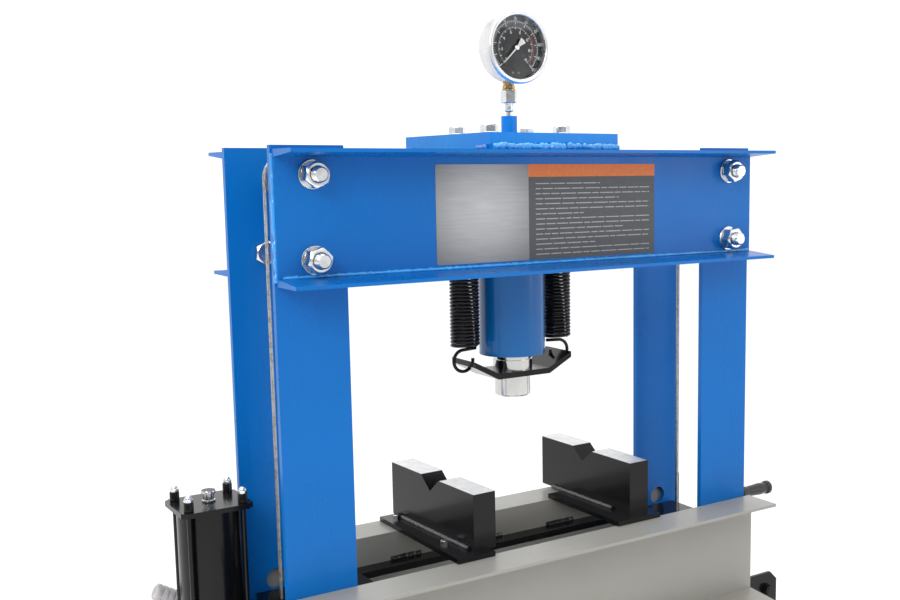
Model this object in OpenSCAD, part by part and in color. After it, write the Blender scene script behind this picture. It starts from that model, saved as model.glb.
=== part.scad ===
/* [Frame] */
// Width over the outer edges of the uprights
frame_w = 950; // [900:5:1000]
// Height of the top of the beam above the floor
beam_top = 1800; // [1780:5:1900]
// Width of one flat upright
upright_w = 115; // [105:1:125]
// Thickness of one flat upright
upright_t = 10; // [8:1:12]
// Depth over the outer faces of the front and rear uprights
frame_d = 208; // [200:1:216]
// Diameter of the holes for the bed pins
pin_hole_d = 36; // [35:1:38]
// Spacing of the holes for the bed pins
pin_pitch = 90; // [86:1:94]

/* [Channels] */
// Height of the rolled channels of the beam and the bed
channel_h = 200; // [180:5:200]
// Width of the flanges
channel_b = 75; // [65:1:80]
// Thickness of the webs
channel_web = 8; // [6:0.5:10]
// Length of the beam channels
beam_l = 945; // [940:1:960]
// Length of the bed channels
bed_l = 974; // [960:1:984]

/* [Cylinder] */
// Outer diameter of the cylinder
cylinder_d = 118; // [112:1:122]
// Length of the cylinder below the beam top
cylinder_l = 356; // [330:1:357]
// Diameter of the ram
ram_d = 69; // [60:1:72]

/* [Return springs] */
// Outer diameter of a return spring
spring_d = 52; // [46:1:54]
// Distance of each spring from the ram axis
spring_x = 97; // [95:1:100]
// Wire diameter of the springs
spring_wire = 6; // [5:0.5:7]

/* [Bed] */
// Height of the work surface of the bed above the floor
bed_top = 1121; // [1116:1:1125]
// Diameter of the bed pins
pin_d = 32; // [30:1:33]
// Height of a V block above its base
vblock_h = 98; // [80:1:100]
// Length of a V block
vblock_l = 280; // [240:5:290]
// Thickness of a V block
vblock_t = 44; // [36:1:46]

/* [Wire rope and winch] */
// Diameter of the wire rope
rope_d = 6; // [5:0.5:6]
// Radius of the drum at the middle of the rope
drum_pitch_r = 33; // [32:0.5:34]

/* [Pump] */
// Diameter of the air motor barrel
motor_d = 100; // [90:1:101]
// Length of the air motor barrel
motor_l = 224; // [200:2:224]

/* [Hidden] */
$fn = 48;

blue = "#2f73c4";
bare_grey = "#c4c2b8";
gloss_black = "#1d1c20";
zinc = "#d9dce0";
hole_gap = 1;          // radial gap of a bolt in its hole
run_fit = 0.05;        // radial gap of a running fit
free_gap = 0.3;        // gap between moving surfaces that are no fit
eps = 0.01;

// Frame
half_w = frame_w / 2;
half_d = frame_d / 2;
inner_x = half_w - upright_w;
inner_y = half_d - upright_t;
upright_x = half_w - upright_w / 2;
upright_rise = 6;
base_t = 12;
foot_w = 140;
foot_l = 760;
foot_hole_y = 345;
foot_hole_r = 9;
beam_mid = beam_top - channel_h / 2;
pin_holes = 7;
pin_hole_top = beam_top - 714;

// M24 bolts of the beam
bolt_x = 415;
bolt_dz = 63;
m24_r = 12;
m24_af = 36;
m24_head = 15;
m24_nut = 21;
washer_t = 4;
washer_r = 22;
bolt_stub = 12;
front_bolts = [for (x = [-bolt_x, bolt_x], z = [-bolt_dz, bolt_dz]) [x, beam_mid + z]];
rear_bolts = [[-bolt_x, beam_mid - bolt_dz], [bolt_x, beam_mid - bolt_dz], [bolt_x, beam_mid + bolt_dz]];

// Top plate
plate_w = 256;
plate_d = 288;
plate_t = 27.5;
plate_top = beam_top + plate_t;
screw_x = 74;
screw_y = 54;
m18_r = 9;
m18_af = 27;
m18_head = 12;

// Cylinder, ram and springs
cylinder_r = cylinder_d / 2;
cylinder_bottom = beam_top - cylinder_l;
flange_w = 184;
flange_d = 144;
flange_t = 22;
bore_r = 42;
cap_t = 25;
gland_r = 50;
gland_t = 30;
ram_r = ram_d / 2;
piston_top = beam_top - 60;
piston_l = 40;
yoke_z = beam_top - 394;
yoke_t = 10;
yoke_flat = 54;
yoke_half_l = 101;
yoke_half_w = 40;
yoke_rise = 25;
neck_r = 25;
collar_r = 35.5;
collar_h = 18;
foot_r = 32;
foot_h = 37;
spring_bottom = beam_top - 339;
spring_top = beam_top - 56;
wire_r = spring_wire / 2;
low_ring_r = 19;
low_ring_x = 101;
low_ring_z = spring_bottom - low_ring_r - wire_r;
top_ring_r = 12;
rod_r = 5;
rod_z = spring_top + top_ring_r + 4;

// Pressure gauge
gauge_z = beam_top + 175.4;
gauge_face_y = -39;
gauge_back_y = 9;
gauge_r = 61.5;
dial_r = 52;
boss_r = 14;
boss_h = 33.5;

// Wire rope
rope_r = rope_d / 2;
rope_left = [-429, 46];
rope_right = [418, 34];
left_sheave_r = 33;
left_sheave_z = beam_top - 42;
left_sheave_x = rope_left[0] + left_sheave_r;
right_sheave_r = 40;
right_sheave_x = rope_right[0] + right_sheave_r;
right_sheave_z = left_sheave_z + left_sheave_r - right_sheave_r;
rope_top_z = left_sheave_z + left_sheave_r;
fall_x = right_sheave_x + right_sheave_r;
guide_y = 84;
guide_r = 8;
sheave_half = 7;
groove_r = 4.5;
axle_r = 8;
rope_end_z = bed_top - 75;

// Winch
drum_x = fall_x + drum_pitch_r;
drum_z = beam_top - 950;
drum_r = drum_pitch_r - rope_r - free_gap;
side_y = 66;
side_back_y = 78;
side_t = 6;
wheel_r = 45;
wheel_teeth = 20;
tooth_pitch = 2 * PI * (wheel_r - 2) / wheel_teeth;
worm_r = 12;
worm_y = 57;
worm_z = drum_z + wheel_r + worm_r + 1;
shaft_r = 8;
crank_l = 156;
crank_x = 614;
crank_t = 8;
grip_r = 13;
grip_l = 88;

// Bed
bed_bottom = bed_top - channel_h;
bed_y = half_d + 1.5;
bed_pin_z = bed_bottom - pin_d / 2 - free_gap;
tie_top = bed_top - 52;
tie_t = 12;
window_x = 273;
window_y = 73;
left_block_x = -143.5;
right_block_x = 195.5;
vbase_t = 8.5;
vblock_gap = 0.3;

// Pump and air motor
motor_x = -537.5;
motor_y = 57;
motor_plate_x = 56.5;
motor_plate_y = 51;
motor_plate_t = 8;
motor_top = beam_top - 550;
motor_bottom = motor_top - 2 * motor_plate_t - motor_l;
rod_dx = 42.5;
rod_dy = 37;
head_h = 80;
head_bottom = motor_bottom - head_h;
tank_h = 190;
tank_bottom = head_bottom - tank_h;
lever_y = 122;
lever_pivot = [-505, motor_bottom - 35];
lever_elbow = [-537, motor_bottom + 44];
lever_end = [-611, motor_bottom + 88];
pipe_r = 4;
pipe_route = [
    [-560, 110, 960], [-560, 150, 960], [-506, 150, 960], [-506, 150, 1225],
    [-440, 150, 1225], [-440, 150, 1585], [-345, 150, 1585], [-345, 60, 1585],
    [-345, 60, 1700], [-345, 88, 1700], [0, 88, 1700], [0, cylinder_r + 2, 1700]
];

// A solid of a drawing in y and z, drawn out along x and centred on it
module along_x(length) {
    translate([-length / 2, 0, 0]) rotate([90, 0, 90]) linear_extrude(length) children();
}

// A cylinder whose axis runs along y, from y0 to y1
module cyl_y(r, x, z, y0, y1) {
    translate([x, y1, z]) rotate([90, 0, 0]) cylinder(r = r, h = y1 - y0);
}

// A hexagonal prism along y
module hex_y(af, x, z, y0, y1) {
    translate([x, y1, z]) rotate([90, 0, 0]) cylinder(d = af / cos(30), h = y1 - y0, $fn = 6);
}

// A rounded bar from one point to another
module bar(a, b, r) {
    d = b - a;
    length = norm(d);
    translate(a) rotate([0, acos(d[2] / length), atan2(d[1], d[0])]) cylinder(r = r, h = length);
}

// Bars through a list of points, with a ball at each bend
module bent_tube(points, r) {
    for (i = [0 : len(points) - 2]) bar(points[i], points[i + 1], r);
    for (i = [1 : len(points) - 2]) translate(points[i]) sphere(r = 1.05 * r);
}

// Part of a ring of rope about an axis along y, between two angles from +x toward +z
module rope_arc(x, y, z, pitch_r, from, to) {
    translate([x, y, z]) rotate([90, -from, 0]) {
        rotate_extrude(angle = to - from) translate([pitch_r, 0]) circle(r = rope_r);
    }
}

// Rolled channel with tapered flanges, its back on y = 0 and its flanges toward -y
module channel(length) {
    tip = 5.5;
    root = 11;
    along_x(length) polygon([
        [0, 0], [0, channel_h], [-channel_b, channel_h], [-channel_b, channel_h - tip],
        [-channel_web, channel_h - root], [-channel_web, root], [-channel_b, tip], [-channel_b, 0]
    ]);
}

// One flat upright at the front left, with its pin holes and the given bolt holes
module upright(bolts) {
    color(blue) difference() {
        translate([-half_w, -half_d, base_t]) cube([upright_w, upright_t, beam_top + upright_rise - base_t]);
        for (i = [0 : pin_holes - 1]) {
            cyl_y(pin_hole_d / 2, -upright_x, pin_hole_top - i * pin_pitch, -half_d - 1, -inner_y + 1);
        }
        for (b = bolts) cyl_y(b[2] + hole_gap, b[0], b[1], -half_d - 1, -inner_y + 1);
    }
}

module upright_front_left() {
    upright([for (z = [-bolt_dz, bolt_dz]) [-bolt_x, beam_mid + z, m24_r]]);
}

module upright_front_right() {
    mirror([1, 0, 0]) upright([for (z = [-bolt_dz, bolt_dz]) [-bolt_x, beam_mid + z, m24_r]]);
}

module upright_rear_left() {
    mirror([0, 1, 0]) upright([
        [-bolt_x, beam_mid - bolt_dz, m24_r],
        [left_sheave_x, left_sheave_z, axle_r]
    ]);
}

module upright_rear_right() {
    mirror([0, 1, 0]) mirror([1, 0, 0]) upright([
        [-bolt_x, beam_mid - bolt_dz, m24_r],
        [-bolt_x, beam_mid + bolt_dz, m24_r],
        [-right_sheave_x, right_sheave_z, axle_r]
    ]);
}

module beam_channel_front() {
    color(blue) difference() {
        translate([0, -half_d, beam_top - channel_h]) channel(beam_l);
        for (b = front_bolts) cyl_y(m24_r + hole_gap, b[0], b[1], -half_d - channel_b, -half_d + 1);
    }
}

module beam_channel_rear() {
    color(blue) difference() {
        mirror([0, 1, 0]) translate([0, -half_d, beam_top - channel_h]) channel(beam_l);
        for (b = rear_bolts) cyl_y(m24_r + hole_gap, b[0], b[1], half_d - 1, half_d + channel_b);
        cyl_y(axle_r + hole_gap, left_sheave_x, left_sheave_z, half_d - 1, half_d + channel_b);
        cyl_y(axle_r + hole_gap, right_sheave_x, right_sheave_z, half_d - 1, half_d + channel_b);
    }
}

// One M24 bolt of the front beam: head on the inner face of the upright
module beam_bolt(x, z) {
    end_y = -half_d - channel_web - washer_t - m24_nut - bolt_stub;
    hex_y(m24_af, x, z, -inner_y, -inner_y + m24_head);
    cyl_y(m24_r, x, z, end_y, -inner_y + eps);
}

// Washer and nut of one bolt of the front beam, as two solids
module beam_nut(x, z) {
    washer_y = -half_d - channel_web - washer_t;
    difference() {
        cyl_y(washer_r, x, z, washer_y, washer_y + washer_t);
        cyl_y(m24_r, x, z, washer_y - 1, washer_y + washer_t + 1);
    }
    difference() {
        hex_y(m24_af, x, z, washer_y - m24_nut, washer_y);
        cyl_y(m24_r, x, z, washer_y - m24_nut - 1, washer_y + 1);
    }
}

module beam_bolts() {
    color(zinc) for (b = front_bolts) beam_bolt(b[0], b[1]);
    color(zinc) mirror([0, 1, 0]) for (b = rear_bolts) beam_bolt(b[0], b[1]);
}

module beam_nuts() {
    color(zinc) for (b = front_bolts) beam_nut(b[0], b[1]);
    color(zinc) mirror([0, 1, 0]) for (b = rear_bolts) beam_nut(b[0], b[1]);
}

// Thick plate welded across both beam channels, with the boss of the gauge
module top_plate() {
    color(blue) difference() {
        union() {
            translate([-plate_w / 2, -plate_d / 2, beam_top]) cube([plate_w, plate_d, plate_t]);
            translate([0, 0, beam_top]) cylinder(r = boss_r, h = plate_t + boss_h);
        }
        translate([0, 0, beam_top - 1]) cylinder(r = 5, h = plate_t + boss_h + 2);
        for (x = [-screw_x, screw_x], y = [-screw_y, screw_y]) {
            translate([x, y, beam_top - 1]) cylinder(r = m18_r + hole_gap, h = plate_t + 2);
        }
    }
}

module top_plate_screws() {
    color(zinc) for (x = [-screw_x, screw_x], y = [-screw_y, screw_y]) translate([x, y, 0]) {
        translate([0, 0, plate_top]) cylinder(r = m18_r + 7, h = washer_t);
        translate([0, 0, plate_top + washer_t]) cylinder(d = m18_af / cos(30), h = m18_head, $fn = 6);
        translate([0, 0, beam_top - flange_t]) cylinder(r = m18_r, h = flange_t + plate_t + eps);
    }
}

// Base plate under the two left uprights, with a gusset in front and behind
module foot_left() {
    gusset_t = 10;
    gusset_l = 196;
    gusset_h = 220;
    color(blue) difference() {
        union() {
            translate([-upright_x - foot_w / 2, -foot_l / 2, 0]) cube([foot_w, foot_l, base_t]);
            for (s = [0, 1]) mirror([0, s, 0]) translate([-upright_x, 0, 0]) along_x(gusset_t) {
                polygon([
                    [-half_d, base_t - 1], [-half_d, base_t + gusset_h], [-half_d - 20, base_t + gusset_h],
                    [-half_d - gusset_l, base_t + 20], [-half_d - gusset_l, base_t - 1]
                ]);
            }
        }
        for (y = [-foot_hole_y, foot_hole_y]) {
            translate([-upright_x, y, -1]) cylinder(r = foot_hole_r, h = base_t + 2);
        }
    }
}

module foot_right() {
    mirror([1, 0, 0]) foot_left();
}

// Angle bars between the left and right uprights, and flat plates between front and rear
module frame_ties() {
    tie_z = 180;
    tie_h = 120;
    lip = 50;
    side_z = 400;
    side_h = 160;
    side_tie_t = 8;
    color(blue) for (s = [0, 1]) mirror([0, s, 0]) along_x(2 * inner_x) polygon([
        [-half_d, tie_z], [-half_d, tie_z + tie_h], [-half_d + lip, tie_z + tie_h],
        [-half_d + lip, tie_z + tie_h - upright_t], [-inner_y, tie_z + tie_h - upright_t], [-inner_y, tie_z]
    ]);
    color(blue) for (s = [0, 1]) mirror([s, 0, 0]) {
        translate([-half_w, -inner_y, side_z]) cube([side_tie_t, 2 * inner_y, side_h]);
    }
}

// Thin panel on the web of the front beam, blank
module label_panel() {
    panel_x = -210;
    panel_w = 445;
    panel_z = beam_top - 182;
    panel_h = 159;
    panel_t = 1;
    panel_y = -half_d - channel_web - panel_t;
    color("#55565a") translate([panel_x, panel_y, panel_z]) cube([panel_w, panel_t, panel_h]);
}

// Barrel with its flange under the top plate, open at the bottom for the gland
module cylinder_barrel() {
    corner = 18;
    port_z = pipe_route[11][2];
    color(blue) difference() {
        union() {
            translate([0, 0, cylinder_bottom]) cylinder(r = cylinder_r, h = cylinder_l, $fn = 96);
            translate([-flange_w / 2, -flange_d / 2 + corner, beam_top - flange_t]) {
                cube([flange_w, flange_d - 2 * corner, flange_t]);
            }
            translate([-flange_w / 2 + corner, -flange_d / 2, beam_top - flange_t]) {
                cube([flange_w - 2 * corner, flange_d, flange_t]);
            }
            for (x = [-1, 1], y = [-1, 1]) {
                translate([x * (flange_w / 2 - corner), y * (flange_d / 2 - corner), beam_top - flange_t]) {
                    cylinder(r = corner, h = flange_t);
                }
            }
            cyl_y(13, 0, port_z, 0, cylinder_r + 2);
        }
        translate([0, 0, cylinder_bottom - 1]) cylinder(r = gland_r, h = gland_t + 1);
        translate([0, 0, cylinder_bottom]) cylinder(r = bore_r, h = cylinder_l - cap_t, $fn = 96);
        translate([0, 0, beam_top - cap_t - 1]) cylinder(r = 5, h = cap_t + 2);
        cyl_y(pipe_r, 0, port_z, bore_r - 5, cylinder_r + 3);
        for (x = [-screw_x, screw_x], y = [-screw_y, screw_y]) {
            translate([x, y, beam_top - flange_t - 1]) cylinder(r = m18_r, h = flange_t + 2);
        }
    }
}

// Screwed ring that guides the ram at the mouth of the barrel
module cylinder_gland() {
    color("#8d9196") translate([0, 0, cylinder_bottom]) difference() {
        cylinder(r = gland_r, h = gland_t);
        translate([0, 0, -1]) cylinder(r = ram_r + run_fit, h = gland_t + 2, $fn = 96);
        translate([0, 0, 12]) cylinder(r = ram_r + 5, h = 7);
    }
}

module rod_seal() {
    color("#202020") translate([0, 0, cylinder_bottom + 12]) difference() {
        cylinder(r = ram_r + 5, h = 7);
        translate([0, 0, -1]) cylinder(r = ram_r + run_fit, h = 9, $fn = 96);
    }
}

module ram() {
    groove = 1.5;
    color(zinc) difference() {
        union() {
            translate([0, 0, yoke_z + yoke_t]) {
                cylinder(r = ram_r, h = piston_top - yoke_z - yoke_t - piston_l + eps, $fn = 96);
            }
            translate([0, 0, piston_top - piston_l]) cylinder(r = bore_r - run_fit, h = piston_l, $fn = 96);
            translate([0, 0, yoke_z]) cylinder(r = neck_r, h = yoke_t + eps);
            translate([0, 0, yoke_z + yoke_t]) cylinder(r = collar_r, h = collar_h);
        }
        translate([0, 0, piston_top - 24]) difference() {
            cylinder(r = bore_r + 1, h = 8);
            translate([0, 0, -1]) cylinder(r = bore_r - 6, h = 10);
        }
        translate([0, 0, yoke_z + yoke_t + collar_h - eps]) difference() {
            cylinder(r = ram_r + 1, h = 2);
            translate([0, 0, -1]) cylinder(r = ram_r - groove, h = 4);
        }
    }
}

module piston_seal() {
    color("#202020") translate([0, 0, piston_top - 24]) difference() {
        cylinder(r = bore_r - run_fit, h = 8, $fn = 96);
        translate([0, 0, -1]) cylinder(r = bore_r - 6, h = 10);
    }
}

// Pressing piece screwed to the ram, which clamps the yoke
module ram_foot() {
    chamfer = 2;
    color(zinc) translate([0, 0, yoke_z - foot_h]) rotate_extrude() polygon([
        [0, 0], [foot_r - chamfer, 0], [foot_r, chamfer], [foot_r, foot_h], [0, foot_h]
    ]);
}

// Bent strap that carries the lower ends of the springs
module spring_yoke() {
    tip_z = yoke_z + yoke_rise;
    slack = 1.5;
    color(gloss_black) difference() {
        translate([0, yoke_half_w, 0]) rotate([90, 0, 0]) linear_extrude(2 * yoke_half_w) polygon([
            [-yoke_flat, yoke_z], [yoke_flat, yoke_z], [yoke_half_l, tip_z],
            [yoke_half_l, tip_z + yoke_t], [yoke_flat - 2, yoke_z + yoke_t],
            [-yoke_flat + 2, yoke_z + yoke_t], [-yoke_half_l, tip_z + yoke_t], [-yoke_half_l, tip_z]
        ]);
        translate([0, 0, yoke_z - 1]) cylinder(r = neck_r + run_fit, h = yoke_t + 2);
        for (s = [-1, 1]) wire_ring(s * low_ring_x, low_ring_z, low_ring_r, wire_r + slack);
    }
}

// Ring of wire in the plane of x and z
module wire_ring(x, z, ring_r, r) {
    translate([x, 0, z]) rotate([90, 0, 0]) rotate_extrude() translate([ring_r, 0]) circle(r = r);
}

module lower_spring_hooks() {
    color(gloss_black) for (s = [-1, 1]) wire_ring(s * low_ring_x, low_ring_z, low_ring_r, wire_r);
}

module upper_spring_hooks() {
    color(gloss_black) for (s = [-1, 1]) {
        wire_ring(s * spring_x, spring_top + top_ring_r + wire_r, top_ring_r, wire_r);
    }
}

module spring_anchor_rods() {
    color(blue) for (s = [-1, 1]) cyl_y(rod_r, s * spring_x, rod_z + wire_r - 1.5, -half_d, half_d);
}

// Closed envelope of one coil spring, hollow inside
module spring(x) {
    color(gloss_black) translate([x, 0, spring_bottom]) difference() {
        cylinder(d = spring_d, h = spring_top - spring_bottom);
        translate([0, 0, -1]) cylinder(r = spring_d / 2 - spring_wire, h = spring_top - spring_bottom + 2);
    }
}

module spring_left() {
    spring(-spring_x);
}

module spring_right() {
    spring(spring_x);
}

module gauge_adapter() {
    base = plate_top + boss_h;
    color(zinc) {
        translate([0, 0, base]) cylinder(r = 6, h = 8);
        translate([0, 0, base + 8]) cylinder(r = 8, h = 14);
        translate([0, 0, base + 22]) cylinder(d = 30.5, h = 22, $fn = 6);
    }
}

module stem_square() {
    stem_z = plate_top + boss_h + 44;
    translate([0, 0, stem_z]) cylinder(d = 22 / cos(30), h = gauge_z - gauge_r + 6 - stem_z, $fn = 4);
}

module gauge_stem() {
    color("#b59a5a") stem_square();
}

// Case of the gauge with its bezel, open at the front
module gauge_case() {
    shell = 3;
    color(zinc) difference() {
        union() {
            cyl_y(gauge_r - 4, 0, gauge_z, gauge_face_y + 12, gauge_back_y);
            cyl_y(gauge_r, 0, gauge_z, gauge_face_y, gauge_face_y + 12);
        }
        cyl_y(gauge_r - 4 - shell, 0, gauge_z, gauge_face_y - 1, gauge_back_y - shell);
        stem_square();
    }
}

module gauge_dial() {
    dial_y = gauge_face_y + 14;
    color("#141414") difference() {
        cyl_y(dial_r, 0, gauge_z, dial_y, dial_y + 1);
        cyl_y(2.2, 0, gauge_z, dial_y - 1, dial_y + 2);
    }
}

module gauge_window() {
    color("#dfe8ea") cyl_y(gauge_r - 7 - run_fit, 0, gauge_z, gauge_face_y + 1, gauge_face_y + 4);
}

// Pointer at zero, toward the lower left, with its hub and spindle
module gauge_needle() {
    needle_y = gauge_face_y + 8;
    color("white") translate([0, needle_y + 2, gauge_z]) rotate([90, 0, 0]) {
        translate([0, 0, -6]) cylinder(r = 2, h = 8);
        cylinder(r = 4, h = 2.5);
        rotate(-135) linear_extrude(1) polygon([[-12, -2], [-12, 2], [36, 0.8], [36, -0.8]]);
    }
}

// Steel pipe from the pump to the cylinder, with its union nuts
module pressure_pipe() {
    color("#9aa0a6") bent_tube(pipe_route, pipe_r);
    color(zinc) translate([pipe_route[0][0], 130, pipe_route[0][2]]) rotate([90, 0, 0]) {
        cylinder(d = 20, h = 130 - motor_y - 50, $fn = 6);
    }
    color(zinc) translate([0, 76, pipe_route[11][2]]) rotate([90, 0, 0]) {
        cylinder(d = 20, h = 76 - cylinder_r - 2, $fn = 6);
    }
}

// One headed axle that passes through the rear upright and the rear beam
module sheave_axle(x, z, sheave_front, sheave_back) {
    head = 4;
    cyl_y(axle_r + 4, x, z, sheave_front - 0.5 - head, sheave_front - 0.5);
    cyl_y(axle_r, x, z, sheave_front - 1, half_d + channel_web + 16);
    cyl_y(axle_r + 4, x, z, sheave_back + 0.5, inner_y);
    hex_y(24, x, z, half_d + channel_web, half_d + channel_web + 13);
}

// Axles of the sheaves, and the upright roller that leads the rope behind the cylinder
module sheave_axles() {
    color(zinc) {
        sheave_axle(left_sheave_x, left_sheave_z, rope_left[1] - sheave_half, rope_left[1] + sheave_half);
        sheave_axle(right_sheave_x, right_sheave_z, rope_right[1] - sheave_half, rope_left[1] + sheave_half);
        translate([-15, guide_y - 10, rope_top_z - 15]) cube([30, half_d - guide_y + 10, 5]);
        translate([0, guide_y, rope_top_z - 11]) cylinder(r = guide_r - 0.2, h = 19);
    }
}

// Grooved sheave about an axis along y, one groove at each given y
module sheave(x, z, pitch_r, front, back, grooves) {
    color("#6f747a") difference() {
        cyl_y(pitch_r, x, z, front, back);
        cyl_y(axle_r + run_fit, x, z, front - 1, back + 1);
        for (y = grooves) translate([x, y, z]) rotate([90, 0, 0]) {
            rotate_extrude() translate([pitch_r, 0]) circle(r = groove_r);
        }
    }
}

module sheave_left() {
    sheave(left_sheave_x, left_sheave_z, left_sheave_r, rope_left[1] - sheave_half,
        rope_left[1] + sheave_half, [rope_left[1]]);
}

module sheave_right() {
    sheave(right_sheave_x, right_sheave_z, right_sheave_r, rope_right[1] - sheave_half,
        rope_left[1] + sheave_half, [rope_right[1], rope_left[1]]);
}

// The stretches of both ropes that only run lengthwise, from the sheaves to the drum,
// each a solid of its own that ends a hair short of the next
module rope_runs() {
    hair = 0.02;
    skew = 0.5;
    y_left = rope_left[1];
    y_right = rope_right[1];
    color("#8f8d88") {
        bar([rope_left[0], y_left, right_sheave_z + hair],
            [rope_left[0], y_left, left_sheave_z - hair], rope_r);
        rope_arc(left_sheave_x, y_left, left_sheave_z, left_sheave_r, 90, 180);
        for (end_x = [left_sheave_x + skew, right_sheave_x - skew]) {
            bar([end_x, y_left, rope_top_z],
                [sign(end_x) * skew, guide_y + guide_r + rope_r, rope_top_z], rope_r);
        }
        rope_arc(right_sheave_x, y_left, right_sheave_z, right_sheave_r, 0, 90);
        rope_arc(right_sheave_x, y_right, right_sheave_z, right_sheave_r, 0, 180);
        for (y = [y_left, y_right]) bar([fall_x, y, drum_z], [fall_x, y, right_sheave_z - hair], rope_r);
    }
}

// The two stretches that carry the bed, up to the height of the right sheave
module rope_falls() {
    hair = 0.02;
    color("#8f8d88") for (p = [rope_left, rope_right]) {
        bar([p[0], p[1], rope_end_z], [p[0], p[1], right_sheave_z - hair], rope_r);
    }
}

// Turns of both ropes around the drum
module rope_wraps() {
    first = rope_right[1] - rope_d;
    color("#8f8d88") for (y = [rope_left[1] - rope_d, first, first - rope_d, first - 2 * rope_d]) {
        translate([drum_x, y, drum_z]) rotate([90, 0, 0]) rotate_extrude() {
            translate([drum_pitch_r, 0]) circle(r = rope_r - 0.2);
        }
    }
}

// Pressed sleeves that hold the rope ends under the bed plates
module rope_stops() {
    stop_h = 26;
    color("#9aa0a6") for (p = [rope_left, rope_right]) {
        translate([p[0], p[1], tie_top - tie_t - stop_h]) difference() {
            cylinder(r = 8, h = stop_h);
            translate([0, 0, -1]) cylinder(r = rope_r, h = stop_h + 2);
        }
    }
}

module bed_channel_front() {
    color(bare_grey) translate([0, -bed_y, bed_bottom]) channel(bed_l);
}

module bed_channel_rear() {
    color(bare_grey) mirror([0, 1, 0]) translate([0, -bed_y, bed_bottom]) channel(bed_l);
}

// End plates that reach in between the uprights, ledge bars and bottom straps
module bed_tie_plates() {
    plate_end = half_w - 20;
    inside_y = inner_y - 3;
    strap_x = 240;
    strap_w = 90;
    color(bare_grey) for (s = [0, 1]) mirror([s, 0, 0]) difference() {
        union() {
            translate([-inner_x + 3, -bed_y, tie_top - tie_t]) {
                cube([inner_x - 3 - window_x, 2 * bed_y, tie_t]);
            }
            translate([-plate_end, -inside_y, tie_top - tie_t]) {
                cube([plate_end - window_x, 2 * inside_y, tie_t]);
            }
        }
        hole = s == 0 ? rope_left : [-rope_right[0], rope_right[1]];
        translate([hole[0], hole[1], tie_top - tie_t - 1]) cylinder(r = rope_r + hole_gap, h = tie_t + 2);
    }
    color(bare_grey) for (s = [0, 1]) mirror([0, s, 0]) {
        translate([-window_x, window_y, tie_top - tie_t]) cube([2 * window_x, bed_y - window_y, tie_t]);
    }
    color(bare_grey) for (s = [0, 1]) mirror([s, 0, 0]) {
        translate([-strap_x - strap_w, -bed_y, bed_bottom]) cube([strap_w, 2 * bed_y, 10]);
    }
}

// V block welded to its base plate; the front of its left face is on x = 0. base: x0, x1, y0, y1
module vblock(turn, block_y, v_y, base, screws) {
    v_w = 60;
    v_h = 24.5;
    screw_r = 5.5;
    base_z = bed_top + vblock_gap;
    block_z = base_z + vbase_t;
    color(gloss_black) {
        translate([base[0], base[2], base_z]) cube([base[1] - base[0], base[3] - base[2], vbase_t]);
        translate([0, block_y, 0]) rotate(turn) translate([vblock_t / 2, 0, 0]) along_x(vblock_t) polygon([
            [0, block_z - eps], [vblock_l, block_z - eps],
            [vblock_l, block_z + vblock_h], [v_y + v_w / 2, block_z + vblock_h],
            [v_y, block_z + vblock_h - v_h], [v_y - v_w / 2, block_z + vblock_h], [0, block_z + vblock_h]
        ]);
    }
    color(zinc) for (y = screws) translate([base[0] + 4 * screw_r, y, block_z]) {
        cylinder(r = screw_r, h = screw_r);
    }
}

module vblock_left() {
    translate([left_block_x, 0, 0]) vblock(2.3, -98, 142.5, [-41.5, 31, -116, 177], [-30, 152]);
}

module vblock_right() {
    translate([right_block_x, 0, 0]) vblock(1.4, -92, 146, [-43, 56, -113, 115], []);
}

// Headed pin through the front and rear uprights, with a cross handle
module bed_pin(x) {
    head_y = -half_d - channel_b - 12;
    color(zinc) {
        cyl_y(pin_d / 2, x, bed_pin_z, head_y, half_d + channel_b + 6);
        cyl_y(pin_d / 2 + 6, x, bed_pin_z, head_y - 10, head_y);
        translate([x - 40, head_y - 5, bed_pin_z - 11]) rotate([0, 90, 0]) cylinder(r = 4, h = 80);
    }
}

module bed_pin_left() {
    bed_pin(-upright_x);
}

module bed_pin_right() {
    bed_pin(upright_x);
}

// Plate on the outer edges of the right uprights, with the two side plates of the winch
module winch_bracket() {
    plate_x = 8;
    side_x = 610;
    z0 = drum_z - 60;
    z1 = drum_z + 78;
    corner = 18;
    spacer = [580, drum_z + 43];
    color(gloss_black) difference() {
        union() {
            translate([half_w, -half_d + 1, z0 - 20]) cube([plate_x, frame_d - 2, z1 - z0 + 20]);
            for (y = [-side_y, side_back_y - side_t]) translate([0, y + side_t, 0]) rotate([90, 0, 0]) {
                linear_extrude(side_t) polygon([
                    [half_w + plate_x - 1, z0], [side_x - corner, z0], [side_x, z0 + corner],
                    [side_x, z1 - corner], [side_x - corner, z1], [half_w + plate_x - 1, z1]
                ]);
            }
            translate([560, worm_y - 12, worm_z - 12]) cube([30, side_back_y - worm_y + 13 - side_t, 24]);
        }
        for (y = [-side_y, side_back_y - side_t]) cyl_y(10 + run_fit, drum_x, drum_z, y - 1, y + side_t + 1);
        translate([500, worm_y, worm_z]) rotate([0, 90, 0]) cylinder(r = shaft_r + run_fit, h = 130);
    }
    color(zinc) {
        cyl_y(6, spacer[0], spacer[1], -side_y - 12, -side_y - eps);
        cyl_y(12, spacer[0], spacer[1], -side_y - 3, -side_y);
        hex_y(18, spacer[0], spacer[1], -side_y - 11, -side_y - 3);
    }
}

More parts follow.
